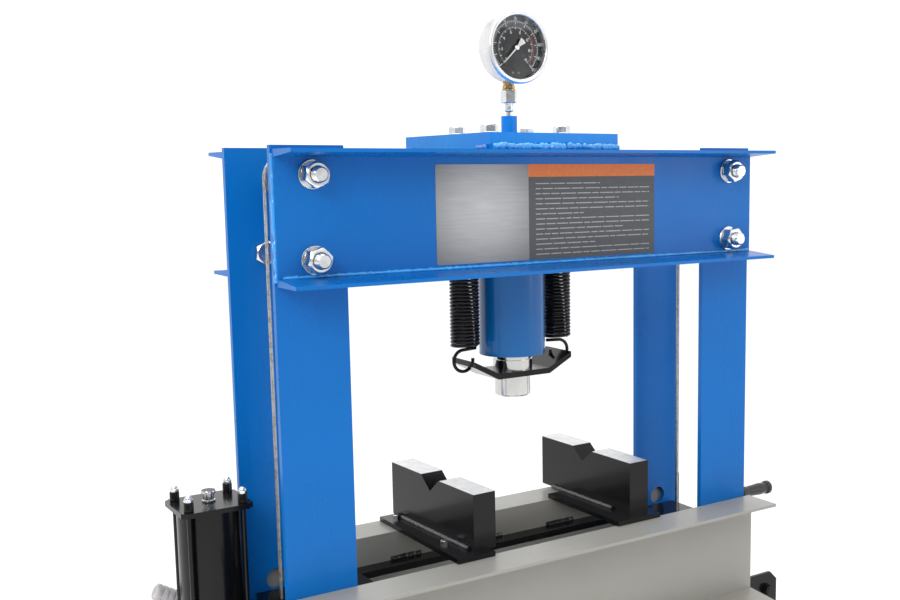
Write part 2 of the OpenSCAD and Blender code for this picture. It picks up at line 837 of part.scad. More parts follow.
// Drum with its flanges, its worm wheel and its journals
module winch_drum() {
    wheel_front = worm_y - 7.5;
    wheel_back = worm_y + 7.5;
    color("#5c6066") difference() {
        union() {
            cyl_y(10, drum_x, drum_z, -side_y - 4, side_back_y + 4);
            cyl_y(drum_r, drum_x, drum_z, -52, wheel_front + eps);
            cyl_y(wheel_r - 2, drum_x, drum_z, -56, -52);
            cyl_y(wheel_r, drum_x, drum_z, wheel_front, wheel_back);
        }
        step = 360 / wheel_teeth;
        for (i = [0 : wheel_teeth - 1]) translate([drum_x, 0, drum_z]) rotate([0, i * step, 0]) {
            translate([wheel_r - 5, wheel_front - 1, -3]) cube([7, wheel_back - wheel_front + 2, 6]);
        }
    }
}

// Worm shaft with the crank arm and the spindle of its grip
module winch_crank() {
    worm_x0 = 514;
    worm_l = 42;
    color(gloss_black) {
        difference() {
            translate([worm_x0, worm_y, worm_z]) rotate([0, 90, 0]) cylinder(r = worm_r, h = worm_l);
            for (i = [0 : 2]) translate([worm_x0 + 3 + i * tooth_pitch, worm_y, worm_z])
                rotate([0, 90, 0]) difference() {
                cylinder(r = worm_r + 1, h = 6);
                translate([0, 0, -1]) cylinder(r = worm_r - 3, h = 8);
            }
        }
        translate([worm_x0 - 4, worm_y, worm_z]) rotate([0, 90, 0]) {
            cylinder(r = shaft_r, h = crank_x + crank_t - worm_x0 + 8);
        }
        translate([crank_x, worm_y, worm_z]) rotate([0, 90, 0]) cylinder(r = 14, h = crank_t);
        translate([crank_x, worm_y, worm_z + crank_l]) rotate([0, 90, 0]) cylinder(r = 12, h = crank_t);
        translate([crank_x, worm_y - 11, worm_z]) cube([crank_t, 22, crank_l]);
        translate([crank_x, worm_y, worm_z + crank_l]) rotate([0, 90, 0]) {
            cylinder(r = 5, h = crank_t + grip_l - 3);
        }
    }
}

module crank_grip() {
    color("#2b2a2c") translate([crank_x + crank_t + free_gap, worm_y, worm_z + crank_l]) rotate([0, 90, 0]) {
        rotate_extrude() polygon([
            [5 + run_fit, 0], [grip_r, 0], [grip_r, 8], [grip_r - 2, 20], [grip_r, 55], [grip_r - 1.5, 72],
            [grip_r + 1.5, 75], [grip_r + 1.5, grip_l - 6], [grip_r - 4, grip_l], [0, grip_l],
            [0, grip_l - 3], [5 + run_fit, grip_l - 3]
        ]);
    }
}

// Plate on the outer edges of the left uprights that carries the pump
module pump_bracket() {
    color(gloss_black) {
        translate([-half_w - 10, -half_d + 1, tank_bottom - 30]) {
            cube([10, frame_d - 2, tank_h + head_h + 30]);
        }
        translate([-600, -20, tank_bottom - 8]) cube([600 - half_w - 5, 120, 8]);
    }
}

// Oil tank with its filler cap
module pump_tank() {
    color(gloss_black) difference() {
        translate([-600, -20, tank_bottom]) cube([600 - half_w - 10, 120, tank_h]);
        translate([-595, -15, tank_bottom + 5]) cube([590 - half_w - 10, 110, tank_h - 10]);
        translate([-560, -8, tank_bottom + tank_h - 6]) cylinder(r = 8, h = 8);
    }
    color("#202020") translate([-560, -8, tank_bottom + tank_h - 5]) {
        cylinder(r = 8, h = 6);
        translate([0, 0, 5]) cylinder(r = 9, h = 9);
    }
}

// Pump block under the air motor, with the lug of the lever and the air inlet
module pump_head() {
    color(gloss_black) difference() {
        union() {
            translate([motor_x - motor_plate_x + 2, motor_y - 46, head_bottom]) {
                cube([2 * motor_plate_x - 8, 93, head_h]);
            }
            cyl_y(7, lever_pivot[0], lever_pivot[1], motor_y, lever_y + 10);
        }
        cyl_y(5.1, motor_x, head_bottom + 40, motor_y - 60, motor_y - 20);
        cyl_y(9, pipe_route[0][0], pipe_route[0][2], motor_y + 40, motor_y + 60);
    }
    nipple_x = motor_x - motor_plate_x + 2;
    color("#b59a5a") translate([nipple_x, motor_y - 20, head_bottom + 25]) rotate([0, -90, 0]) {
        cylinder(d = 18, h = 10, $fn = 6);
        translate([0, 0, 10 - eps]) cylinder(r = 5, h = 14);
    }
}

// Knurled knob of the release valve on the front of the pump block
module release_knob() {
    knob_y = motor_y - 46 - free_gap;
    color("#2b2a2c") difference() {
        union() {
            cyl_y(16, motor_x, head_bottom + 40, knob_y - 22, knob_y - 6);
            cyl_y(9, motor_x, head_bottom + 40, knob_y - 7, knob_y);
            cyl_y(5, motor_x, head_bottom + 40, knob_y - 7, knob_y + 20);
        }
        for (i = [0 : 7]) translate([motor_x, 0, head_bottom + 40]) rotate([0, i * 45, 0]) {
            cyl_y(3.5, 18, 0, knob_y - 23, knob_y - 5);
        }
    }
}

// Cranked operating lever behind the pump
module pump_lever() {
    a = lever_pivot;
    b = lever_elbow;
    c = lever_end;
    color(gloss_black) difference() {
        union() {
            cyl_y(13, a[0], a[1], lever_y - 4, lever_y + 4);
            bar([a[0], lever_y, a[1]], [b[0], lever_y, b[1]], 6);
            translate([b[0], lever_y, b[1]]) sphere(r = 6.5);
            bar([b[0], lever_y, b[1]], [c[0] + 4, lever_y, c[1] - 2.3], 6);
        }
        cyl_y(7 + run_fit, a[0], a[1], lever_y - 10, lever_y + 10);
    }
}

// Ribbed rubber grip on the lever
module lever_grip() {
    b = [lever_elbow[0], lever_y, lever_elbow[1]];
    c = [lever_end[0], lever_y, lever_end[1]];
    d = c - b;
    length = norm(d);
    ribs = 7;
    rib_pitch = 10.5;
    color("#77777a") translate(b) rotate([0, acos(d[2] / length), atan2(d[1], d[0])]) difference() {
        union() {
            translate([0, 0, 12]) cylinder(r = 11, h = length - 12);
            for (i = [0 : ribs - 1]) translate([0, 0, 16 + i * rib_pitch]) cylinder(r = 13.5, h = 5.5);
        }
        translate([0, 0, 11]) cylinder(r = 6 + run_fit, h = length - 11 - 4);
    }
}

module air_motor_barrel() {
    color(gloss_black) translate([motor_x, motor_y, motor_bottom + motor_plate_t]) difference() {
        cylinder(d = motor_d, h = motor_l, $fn = 96);
        translate([0, 0, -1]) cylinder(d = motor_d - 8, h = motor_l + 2, $fn = 96);
    }
}

// End plates of the air motor, and the silencer on the upper one
module air_motor_plates() {
    color(gloss_black) for (z = [motor_bottom, motor_top - motor_plate_t]) difference() {
        translate([motor_x - motor_plate_x, motor_y - motor_plate_y, z]) intersection() {
            cube([2 * motor_plate_x, 2 * motor_plate_y, motor_plate_t]);
            translate([motor_plate_x, motor_plate_y, 0]) rotate(45) translate([-70, -70, 0]) {
                cube([140, 140, motor_plate_t]);
            }
        }
        for (x = [-rod_dx, rod_dx], y = [-rod_dy, rod_dy]) {
            translate([motor_x + x, motor_y + y, z - 1]) cylinder(r = 4, h = motor_plate_t + 2);
        }
        if (z < motor_top - 20) translate([motor_x - 60, motor_y + 46.5, z - 1]) cube([120, 10, 12]);
    }
    color(zinc) translate([motor_x, motor_y, motor_top]) {
        cylinder(r = 7, h = 14);
        translate([0, 0, 14 - eps]) cylinder(r = 10.5, h = 5);
    }
}

// Tie rods of the air motor, each with a sleeve nut and a domed nut
module tie_rods() {
    for (x = [-rod_dx, rod_dx], y = [-rod_dy, rod_dy]) translate([motor_x + x, motor_y + y, 0]) {
        rod_h = motor_top - motor_bottom + eps;
        color(gloss_black) translate([0, 0, motor_bottom]) cylinder(r = 4, h = rod_h);
        color(gloss_black) translate([0, 0, motor_top]) cylinder(r = 7.5, h = 15);
        color(zinc) translate([0, 0, motor_top + 15 - eps]) {
            cylinder(d = 15, h = 4, $fn = 6);
            translate([0, 0, 4]) intersection() {
                sphere(r = 6.5);
                cylinder(r = 7, h = 7);
            }
        }
    }
}

upright_front_left();
upright_front_right();
upright_rear_left();
upright_rear_right();
beam_channel_front();
beam_channel_rear();
top_plate();
beam_bolts();
beam_nuts();
top_plate_screws();
foot_left();
foot_right();
frame_ties();
label_panel();
cylinder_barrel();
cylinder_gland();
rod_seal();
gauge_adapter();
gauge_stem();
gauge_case();
gauge_dial();
gauge_window();
gauge_needle();
spring_anchor_rods();
upper_spring_hooks();
spring_left();
spring_right();
lower_spring_hooks();
ram();
piston_seal();
ram_foot();
spring_yoke();
pressure_pipe();
sheave_axles();
sheave_left();
sheave_right();
rope_runs();
rope_falls();
rope_wraps();
rope_stops();
bed_channel_front();
bed_channel_rear();
bed_tie_plates();
vblock_left();
vblock_right();
bed_pin_left();
bed_pin_right();
winch_bracket();
winch_drum();
winch_crank();
crank_grip();
pump_bracket();
pump_tank();
pump_head();
release_knob();
pump_lever();
lever_grip();
air_motor_barrel();
air_motor_plates();
tie_rods();
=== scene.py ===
"""The looks of the shop press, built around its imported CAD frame."""

import math
import random

import bpy
import bmesh
from mathutils import Matrix, Vector


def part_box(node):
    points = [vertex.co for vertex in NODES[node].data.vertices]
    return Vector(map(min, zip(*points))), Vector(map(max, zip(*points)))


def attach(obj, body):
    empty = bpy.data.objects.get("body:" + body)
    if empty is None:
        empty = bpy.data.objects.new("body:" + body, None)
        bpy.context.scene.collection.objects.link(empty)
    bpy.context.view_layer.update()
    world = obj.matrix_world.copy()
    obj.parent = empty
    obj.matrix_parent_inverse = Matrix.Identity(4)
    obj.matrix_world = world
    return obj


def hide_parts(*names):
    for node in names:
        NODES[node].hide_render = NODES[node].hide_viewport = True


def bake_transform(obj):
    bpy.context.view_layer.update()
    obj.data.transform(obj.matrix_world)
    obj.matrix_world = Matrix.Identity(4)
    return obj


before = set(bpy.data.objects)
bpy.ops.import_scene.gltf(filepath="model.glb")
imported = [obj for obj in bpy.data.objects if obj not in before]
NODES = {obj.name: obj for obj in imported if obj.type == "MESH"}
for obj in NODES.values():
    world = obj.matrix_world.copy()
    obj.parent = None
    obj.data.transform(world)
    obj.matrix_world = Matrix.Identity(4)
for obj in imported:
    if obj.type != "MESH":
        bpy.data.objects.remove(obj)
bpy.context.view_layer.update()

ROOT, RAM, BED = "press_frame", "ram", "bed"


def mid(node):
    """Middle of a CAD node's box."""
    lo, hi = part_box(node)
    return (lo + hi) / 2


# ---------------------------------------------------------------- camera
def add_camera():
    """The photograph's viewpoint: a 45 mm lens level with the beam, from the front left."""
    yaw, pitch, roll = 0.607, 0.1295, -0.0083
    ahead = Vector((math.sin(yaw), math.cos(yaw), 0))
    side = Vector((math.cos(yaw), -math.sin(yaw), 0))
    up0 = Vector((0, 0, 1))
    look = ahead * math.cos(pitch) - up0 * math.sin(pitch)
    up1 = up0 * math.cos(pitch) + ahead * math.sin(pitch)
    right = side * math.cos(roll) + up1 * math.sin(roll)
    up = up1 * math.cos(roll) - side * math.sin(roll)
    data = bpy.data.cameras.new("camera")
    cam = bpy.data.objects.new("camera", data)
    bpy.context.scene.collection.objects.link(cam)
    m = Matrix((right, up, -look)).transposed().to_4x4()
    m.translation = Vector((-1.0715, -1.6891, 1.7626))
    cam.matrix_world = m
    data.sensor_width = 36
    data.lens = 45.14
    data.shift_x = -0.1206
    data.shift_y = 0.0218
    data.clip_start = 0.05
    data.clip_end = 60
    bpy.context.scene.camera = cam


add_camera()


# ---------------------------------------------------------------- materials
class Shade:
    """A small builder for one procedural material."""

    def __init__(self, name, color, rough, metal=0.0):
        self.mat = bpy.data.materials.new(name)
        self.mat.use_nodes = True
        self.tree = self.mat.node_tree
        self.bsdf = next(n for n in self.tree.nodes if n.type == "BSDF_PRINCIPLED")
        self.bsdf.inputs["Base Color"].default_value = (*color, 1)
        self.bsdf.inputs["Roughness"].default_value = rough
        self.bsdf.inputs["Metallic"].default_value = metal
        self.mat.diffuse_color = (*color, 1)
        self.coords = self.tree.nodes.new("ShaderNodeTexCoord")
        self.normal = None

    def node(self, kind, **values):
        n = self.tree.nodes.new(kind)
        for key, value in values.items():
            if key in n.inputs:
                n.inputs[key].default_value = value
            else:
                setattr(n, key, value)
        return n

    def link(self, a, b):
        self.tree.links.new(a, b)

    def mapped(self, scale=(1, 1, 1)):
        m = self.node("ShaderNodeMapping")
        m.inputs["Scale"].default_value = scale
        self.link(self.coords.outputs["Object"], m.inputs["Vector"])
        return m.outputs["Vector"]

    def noise(self, scale, detail=4.0, rough=0.55, stretch=(1, 1, 1), distort=0.0):
        n = self.node("ShaderNodeTexNoise")
        n.inputs["Scale"].default_value = scale
        n.inputs["Detail"].default_value = detail
        n.inputs["Roughness"].default_value = rough
        n.inputs["Distortion"].default_value = distort
        self.link(self.mapped(stretch), n.inputs["Vector"])
        return n.outputs["Fac"]

    def ramp(self, fac, stops):
        r = self.node("ShaderNodeValToRGB")
        el = r.color_ramp.elements
        el[0].position, el[0].color = stops[0][0], (*stops[0][1], 1)
        el[1].position, el[1].color = stops[-1][0], (*stops[-1][1], 1)
        for pos, col in stops[1:-1]:
            e = el.new(pos)
            e.color = (*col, 1)
        self.link(fac, r.inputs["Fac"])
        return r.outputs["Color"]

    def span(self, fac, low, high, lo_in=0.3, hi_in=0.7):
        r = self.node("ShaderNodeMapRange")
        r.inputs["From Min"].default_value = lo_in
        r.inputs["From Max"].default_value = hi_in
        r.inputs["To Min"].default_value = low
        r.inputs["To Max"].default_value = high
        self.link(fac, r.inputs["Value"])
        return r.outputs["Result"]

    def mix(self, fac, a, b, blend="MIX"):
        m = self.node("ShaderNodeMix", data_type="RGBA", blend_type=blend)
        for value, socket in ((fac, m.inputs[0]), (a, m.inputs[6]), (b, m.inputs[7])):
            if isinstance(value, bpy.types.NodeSocket):
                self.link(value, socket)
            elif isinstance(value, tuple):
                socket.default_value = (*value, 1)
            else:
                socket.default_value = value
        return m.outputs[2]

    def bump(self, height, distance):
        b = self.node("ShaderNodeBump")
        b.inputs["Strength"].default_value = 1.0
        b.inputs["Distance"].default_value = distance
        self.link(height, b.inputs["Height"])
        if self.normal is not None:
            self.link(self.normal, b.inputs["Normal"])
        self.normal = b.outputs["Normal"]

    def done(self, color=None, rough=None, **fixed):
        if color is not None:
            self.link(color, self.bsdf.inputs["Base Color"])
        if rough is not None:
            self.link(rough, self.bsdf.inputs["Roughness"])
        if self.normal is not None:
            self.link(self.normal, self.bsdf.inputs["Normal"])
        for key, value in fixed.items():
            self.bsdf.inputs[key.replace("_", " ")].default_value = value
        return self.mat


def darker(c, k):
    return tuple(max(0.0, min(1.0, x * k)) for x in c)


def paint(name, color, rough, coat=0.0, vary=0.06, peel=0.00006, scuff_and_glint=0.0,
          scuff_and_glint_color=(0.5, 0.5, 0.5), shine=0.5):
    """Sprayed enamel: cloudy tone, orange peel, dust specks and, on some, lighter marks: real scuffs on the
    bed, painted highlights on the welds.
    """
    s = Shade(name, color, rough)
    cloud = s.noise(5.0, 3.0)
    tone = s.ramp(cloud, [(0.3, darker(color, 1 - vary)), (0.5, color), (0.72, darker(color, 1 + vary))])
    # Lighter marks: real scuffs on the grey bed, painted highlights on the weld beads.
    if scuff_and_glint:
        scuff_and_glint_marks = s.noise(38.0, 8.0, 0.7, (1, 1, 2.2), 0.6)
        mask = s.span(scuff_and_glint_marks, 0.0, scuff_and_glint, 0.60, 0.74)
        tone = s.mix(mask, tone, scuff_and_glint_color)
    dust = s.noise(420.0, 2.0)
    s.bump(s.noise(260.0, 2.0), peel)
    s.bump(dust, peel * 0.35)
    streaks = s.noise(14.0, 5.0, 0.6, (1, 1, 0.35))
    return s.done(tone, s.span(streaks, rough * 0.82, rough * 1.25), Coat_Weight=coat, Coat_Roughness=0.12,
                  Specular_IOR_Level=shine)


def metal(name, color, rough, tint=None, scale=30.0, stretch=(1, 1, 1), grain=0.00003, spots=0.12):
    """Plated or machined metal with a cloudy tone and fine scratches."""
    s = Shade(name, color, rough, 1.0)
    tint = tint or darker(color, 0.82)
    cloud = s.noise(scale, 5.0, 0.6)
    tone = s.ramp(cloud, [(0.32, tint), (0.55, color), (0.75, darker(color, 1.06))])
    fine = s.noise(700.0, 3.0, 0.6, stretch)
    s.bump(fine, grain)
    spotted = s.noise(scale * 2.2, 6.0, 0.65)
    return s.done(tone, s.span(spotted, rough * (1 - spots * 2), rough * (1 + spots * 3)))


def rubber(name, color, rough, grain=0.0001):
    s = Shade(name, color, rough)
    tone = s.ramp(s.noise(60.0, 4.0), [(0.3, darker(color, 0.7)), (0.7, darker(color, 1.35))])
    s.bump(s.noise(900.0, 3.0), grain)
    return s.done(tone, s.span(s.noise(90.0, 4.0), rough * 0.85, min(1.0, rough * 1.15)))


BLUE = (0.0015, 0.128, 0.440)
MAT = {
    "blue": paint("blue_enamel", BLUE, 0.28, coat=0.04, vary=0.05, shine=0.18),
    "blue_gloss": paint("blue_gloss_enamel", (0.001, 0.105, 0.330), 0.24, coat=0.30, vary=0.05, shine=0.25),
    # Top plate: a lighter copy of the frame blue, painted highlight where its front catches more light than
    # the shaded beam web.
    "blue_painted_light": paint("blue_enamel_painted_light", (0.004, 0.215, 0.640), 0.28, coat=0.04, vary=0.05, shine=0.18),
    "blue_weld": paint("blue_weld_enamel", darker(BLUE, 1.15), 0.20, coat=0.6, vary=0.12, peel=0.0003),
    # Front welds: lighter blue with pale cyan marks, painted highlights for the glint on the lit beads.
    "weld_painted_highlight": paint("weld_enamel_painted_highlight", (0.014, 0.270, 0.680), 0.14, coat=0.8, vary=0.25, peel=0.0006,
                         scuff_and_glint=0.9, scuff_and_glint_color=(0.38, 0.66, 0.95)),
    "bed": paint("grey_enamel", (0.285, 0.278, 0.252), 0.34, coat=0.10, vary=0.04, scuff_and_glint=0.3,
                 scuff_and_glint_color=(0.34, 0.33, 0.30), shine=0.4),
    "black": paint("black_enamel", (0.005, 0.005, 0.006), 0.18, coat=0.05, vary=0.25, shine=0.22),
    # Black welds: the grey marks are painted highlights on the beads.
    "black_weld": paint("black_weld_enamel", (0.020, 0.020, 0.022), 0.24, coat=0.6, vary=0.4, peel=0.0006,
                        scuff_and_glint=0.5, scuff_and_glint_color=(0.20, 0.20, 0.21)),
    "zinc": metal("zinc_plate", (0.74, 0.755, 0.765), 0.20, tint=(0.60, 0.61, 0.61), scale=45.0),
    # Pale steel film on the V-block tops: painted reflection of the bright surround on the gloss black.
    "vblock_painted_reflection": metal("steel_painted_reflection", (0.70, 0.70, 0.70), 0.42, tint=(0.60, 0.60, 0.60), scale=60.0,
                    stretch=(1, 9, 1)),
    "chrome": metal("hard_chrome", (0.66, 0.66, 0.64), 0.14, scale=12.0, stretch=(1, 1, 0.05),
                    grain=0.00001),
    "bezel": metal("polished_steel", (0.82, 0.82, 0.83), 0.27, scale=15.0, grain=0.00001),
    "machined": metal("machined_steel", (0.50, 0.50, 0.51), 0.34, scale=22.0, stretch=(1, 1, 6)),
    "oiled": metal("oiled_steel", (0.36, 0.35, 0.34), 0.38, scale=60.0),
    "rope": metal("rope_wire", (0.55, 0.54, 0.51), 0.36, tint=(0.32, 0.31, 0.29), scale=120.0),
    "brass": metal("brass_fitting", (0.50, 0.36, 0.18), 0.28, tint=(0.36, 0.25, 0.12), scale=50.0),
    "rubber": rubber("seal_rubber", (0.020, 0.020, 0.020), 0.6),
    "grip": rubber("grip_rubber", (0.40, 0.39, 0.40), 0.55),
    "plastic": rubber("black_plastic", (0.014, 0.014, 0.015), 0.34, 0.00003),
}

CAD_LOOKS = {
    "blue": [
        "upright_front_left", "upright_front_right", "upright_rear_left", "upright_rear_right",
        "beam_channel_front", "beam_channel_rear", "foot_left", "foot_right",
        "frame_ties", "spring_anchor_rods",
    ],
    "blue_gloss": ["cylinder_barrel"],
    # Top plate in the lighter blue: painted highlight.
    "blue_painted_light": ["top_plate"],
    "bed": ["bed_channel_front", "bed_channel_rear"],
    "black": [
        # bed_tie_plates are black for the shade between the bed channels: painted shade.
        "bed_tie_plates", "spring_yoke", "upper_spring_hooks", "lower_spring_hooks", "vblock_left",
        "vblock_right",
        "winch_bracket", "winch_crank", "pump_bracket", "pump_tank", "pump_head", "pump_lever",
        "air_motor_barrel", "air_motor_plates", "spring_left", "spring_right",
    ],
    "zinc": [
        "beam_bolts", "beam_nuts", "top_plate_screws", "bed_pin_left", "bed_pin_right", "tie_rods",
        "rope_stops", "sheave_axles", "gauge_adapter",
    ],
    "chrome": ["ram", "ram_foot"],
    "bezel": ["gauge_case"],
    "machined": ["cylinder_gland", "sheave_left", "sheave_right"],
    "oiled": ["winch_drum", "pressure_pipe"],
    "rope": ["rope_runs", "rope_falls", "rope_wraps"],
    "brass": ["gauge_stem"],
    "rubber": ["rod_seal", "piston_seal"],
    "grip": ["lever_grip"],
    "plastic": ["crank_grip", "release_knob", "gauge_dial", "gauge_needle", "gauge_window", "label_panel"],
}
for look, names in CAD_LOOKS.items():
    for n in names:
        NODES[n].data.materials.clear()
        NODES[n].data.materials.append(MAT[look])


def soften(node, width, angle=50):
    """Rounds the sharp edges of a CAD node, as rolled and sprayed steel has."""
    o = NODES[node]
    b = o.modifiers.new("edge", "BEVEL")
    b.width = width
    b.segments = 2
    b.limit_method = "ANGLE"
    b.angle_limit = math.radians(angle)
    b.use_clamp_overlap = True
    b.harden_normals = False


# ---------------------------------------------------------------- mesh helpers
def link(name, mesh, look, body, smooth=True):
    o = bpy.data.objects.new(name, mesh)
    bpy.context.scene.collection.objects.link(o)
    mesh.materials.append(MAT[look] if isinstance(look, str) else look)
    if smooth:
        for p in mesh.polygons:
            p.use_smooth = True
    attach(o, body)
    return o


def mesh_of(name, verts, faces):
    m = bpy.data.meshes.new(name)
    m.from_pydata([tuple(v) for v in verts], [], faces)
    m.update()
    return m


def sharp(o, degrees=38):
    """Keeps edges steeper than this crisp on a smooth mesh."""
    m = o.data
    bm = bmesh.new()
    bm.from_mesh(m)
    bmesh.ops.recalc_face_normals(bm, faces=bm.faces)
    limit = math.radians(degrees)
    for e in bm.edges:
        e.smooth = not (len(e.link_faces) == 2 and e.calc_face_angle(0.0) > limit)
    bm.to_mesh(m)
    bm.free()
    return o


def frame_for(axis):
    """Two unit vectors square to an axis."""
    axis = Vector(axis).normalized()
    other = Vector((0, 0, 1)) if abs(axis.z) < 0.9 else Vector((1, 0, 0))
    u = axis.cross(other).normalized()
    return axis, u, axis.cross(u).normalized()


def spun(origin, axis, profile, segs=48, radius=None):
    """Vertices and faces of a profile of (r, h) turned about an axis; radius(r, angle) may shape it."""
    axis, u, v = frame_for(axis)
    origin = Vector(origin)
    verts, faces = [], []
    for r, h in profile:
        for k in range(segs):
            a = 2 * math.pi * k / segs
            rr = radius(r, a) if radius else r
            verts.append(origin + axis * h + (u * math.cos(a) + v * math.sin(a)) * rr)
    for i in range(len(profile) - 1):
        for k in range(segs):
            k2 = (k + 1) % segs
            faces.append((i * segs + k, i * segs + k2, (i + 1) * segs + k2, (i + 1) * segs + k))
    if profile[0][0] > 1e-9:
        faces.append(tuple(reversed(range(segs))))
    if profile[-1][0] > 1e-9:
        base = (len(profile) - 1) * segs
        faces.append(tuple(range(base, base + segs)))
    return verts, faces


def tube(points, radius, segs=8, ripple=None):
    """Vertices and faces of a tube along points, with a parallel frame."""
    pts = [Vector(p) for p in points]
    n = len(pts)
    verts, faces = [], []
    u = None
    for i, p in enumerate(pts):
        a = pts[i - 1] if i > 0 else p
        b = pts[i + 1] if i < n - 1 else p
        t = (b - a).normalized()
        if u is None:
            u = frame_for(t)[1]
        u = (u - t * u.dot(t)).normalized()
        w = t.cross(u)
        r = radius if ripple is None else radius * ripple(i)
        for k in range(segs):
            ang = 2 * math.pi * k / segs
            verts.append(p + (u * math.cos(ang) + w * math.sin(ang)) * r)
    for i in range(n - 1):
        j = i + 1
        for k in range(segs):
            k2 = (k + 1) % segs
            faces.append((i * segs + k, i * segs + k2, j * segs + k2, j * segs + k))
    faces.append(tuple(reversed(range(segs))))
    faces.append(tuple(range((n - 1) * segs, n * segs)))
    return verts, faces


def joined(parts):
    """One list of vertices and faces from several."""
    verts, faces = [], []
    for v, f in parts:
        base = len(verts)
        verts += v
        faces += [tuple(i + base for i in face) for face in f]
    return verts, faces


def hexagon(across):
    """Radius of a hexagon of this width across flats, at an angle, but never past r."""
    def radius(r, a):
        sector = (a + math.pi / 6) % (math.pi / 3) - math.pi / 6
        return min(r, across / 2 / math.cos(sector))
    return radius


def thread_parts(origin, axis, r, length, pitch):
    """A threaded rod end with real grooves and a chamfered tip."""
    depth = pitch * 0.32
    profile = [(0.0, 0.0), (r - depth, 0.0)]
    h = 0.0
    while h + pitch < length - pitch * 0.6:
        profile += [(r, h + pitch * 0.38), (r, h + pitch * 0.56), (r - depth, h + pitch)]
        h += pitch
    profile += [(r - depth * 0.4, length - pitch * 0.7), (r * 0.78, length), (0.0, length)]
    return spun(origin, axis, profile, 40)


def ring_solid(origin, axis, profile, segs=56, radius=None):
    """A closed ring: the profile's last ring joins its first."""
    v, f = spun(origin, axis, profile, segs, radius)
    f = [face for face in f if len(face) == 4]
    last = (len(profile) - 1) * segs
    for k in range(segs):
        k2 = (k + 1) % segs
        f.append((last + k, last + k2, k2, k))
    return v, f


def zinc_piece(name, parts, body=ROOT):
    """One zinc plated piece from several turned shapes."""
    return sharp(link(name, mesh_of(name, *joined(parts)), "zinc", body), 25)


def weld_parts(points, radius, seed=1, pitch=0.004, rough=0.12):
    """A weld bead: a tube with the scalloped ripples that a welder leaves."""
    rng = random.Random(seed)
    pts = []
    for a, b in zip(points[:-1], points[1:]):
        a, b = Vector(a), Vector(b)
        steps = max(2, int((b - a).length / (pitch / 4)))
        for i in range(steps):
            pts.append(a.lerp(b, i / steps))
    pts.append(Vector(points[-1]))
    wob = [rng.uniform(-rough, rough) for _ in range(len(pts) // 4 + 2)]

    def ripple(i):
        return 0.92 + 0.16 * ((i % 4) / 4) + wob[i // 4]
    return tube(pts, radius, 9, ripple=ripple)


def bead(name, points, radius, look, body, seed=1, pitch=0.004, rough=0.12):
    v, f = weld_parts(points, radius, seed, pitch, rough)
    return sharp(link(name, mesh_of(name, v, f), look, body), 80)


# ---------------------------------------------------------------- beam bolts and nuts
def beam_fasteners():
    heads, nuts = [], []
    web_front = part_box("beam_channel_front")[1].y - 0.008
    web_rear = -web_front
    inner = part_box("upright_front_left")[1].y
    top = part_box("beam_channel_front")[1].z
    xs = (-0.415, 0.415)
    zs = (top - 0.163, top - 0.037)
    washer_t, nut_h, head_h, stub, sunk = 0.004, 0.021, 0.015, 0.012, 0.001
    m24_across, bolt_r = 0.036, 0.0119
    random.seed(4)
    for sign in (-1, 1):
        out = Vector((0, sign, 0))
        for x in xs:
            for z in zs:
                if sign == 1 and x < 0 and z > top - 0.1:
                    continue
                web = web_front if sign < 0 else web_rear
                base = Vector((x, web, z))
                nuts.append(ring_solid(base, out, [
                    (0.0123, 0.0), (0.0215, 0.0), (0.022, 0.0006), (0.022, washer_t - 0.0006),
                    (0.0215, washer_t), (0.0123, washer_t)]))
                turn = random.uniform(0, 1)
                nuts.append(turned_nut(base + out * washer_t, out, m24_across, nut_h, bolt_r, turn))
                thread_at = base + out * (washer_t + nut_h - sunk)
                heads.append(thread_parts(thread_at, out, bolt_r, stub + sunk, 0.003))
                head_base = Vector((x, inner if sign < 0 else -inner, z))
                heads.append(turned_nut(head_base, -out, m24_across, head_h, 0.0, turn, False))
    o = zinc_piece("beam_nuts_detailed", nuts)
    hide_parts("beam_nuts")
    o = zinc_piece("beam_bolts_detailed", heads)
    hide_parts("beam_bolts")


def turned_nut(origin, axis, across, height, bore, turn, both=True):
    """A hexagonal nut or head, turned by part of a sixth of a turn."""
    corner = across / math.sqrt(3)
    face_r = across / 2 * 0.91
    drop = (corner - face_r) * math.tan(math.radians(32))
    shape = hexagon(across)
    offset = turn * math.pi / 3

    def radius(r, a):
        return shape(r, a + offset)
    mid_ring = [(corner, height * 0.5)]
    cone = [(face_r + (corner - face_r) * k / 6, drop * k / 6) for k in range(7)]
    low = cone if both else [(corner, 0.0)]
    high = [(r, height - h) for r, h in reversed(cone)]
    if bore:
        mouth = [(bore * 1.1, height), (bore, height - bore * 0.1)]
        profile = [(bore, 0.0)] + low + mid_ring + high + mouth
        return ring_solid(origin, axis, profile, 96, radius)
    profile = [(0.0, 0.0)] + low + mid_ring + high + [(0.0, height)]
    return spun(origin, axis, profile, 96, radius)


beam_fasteners()


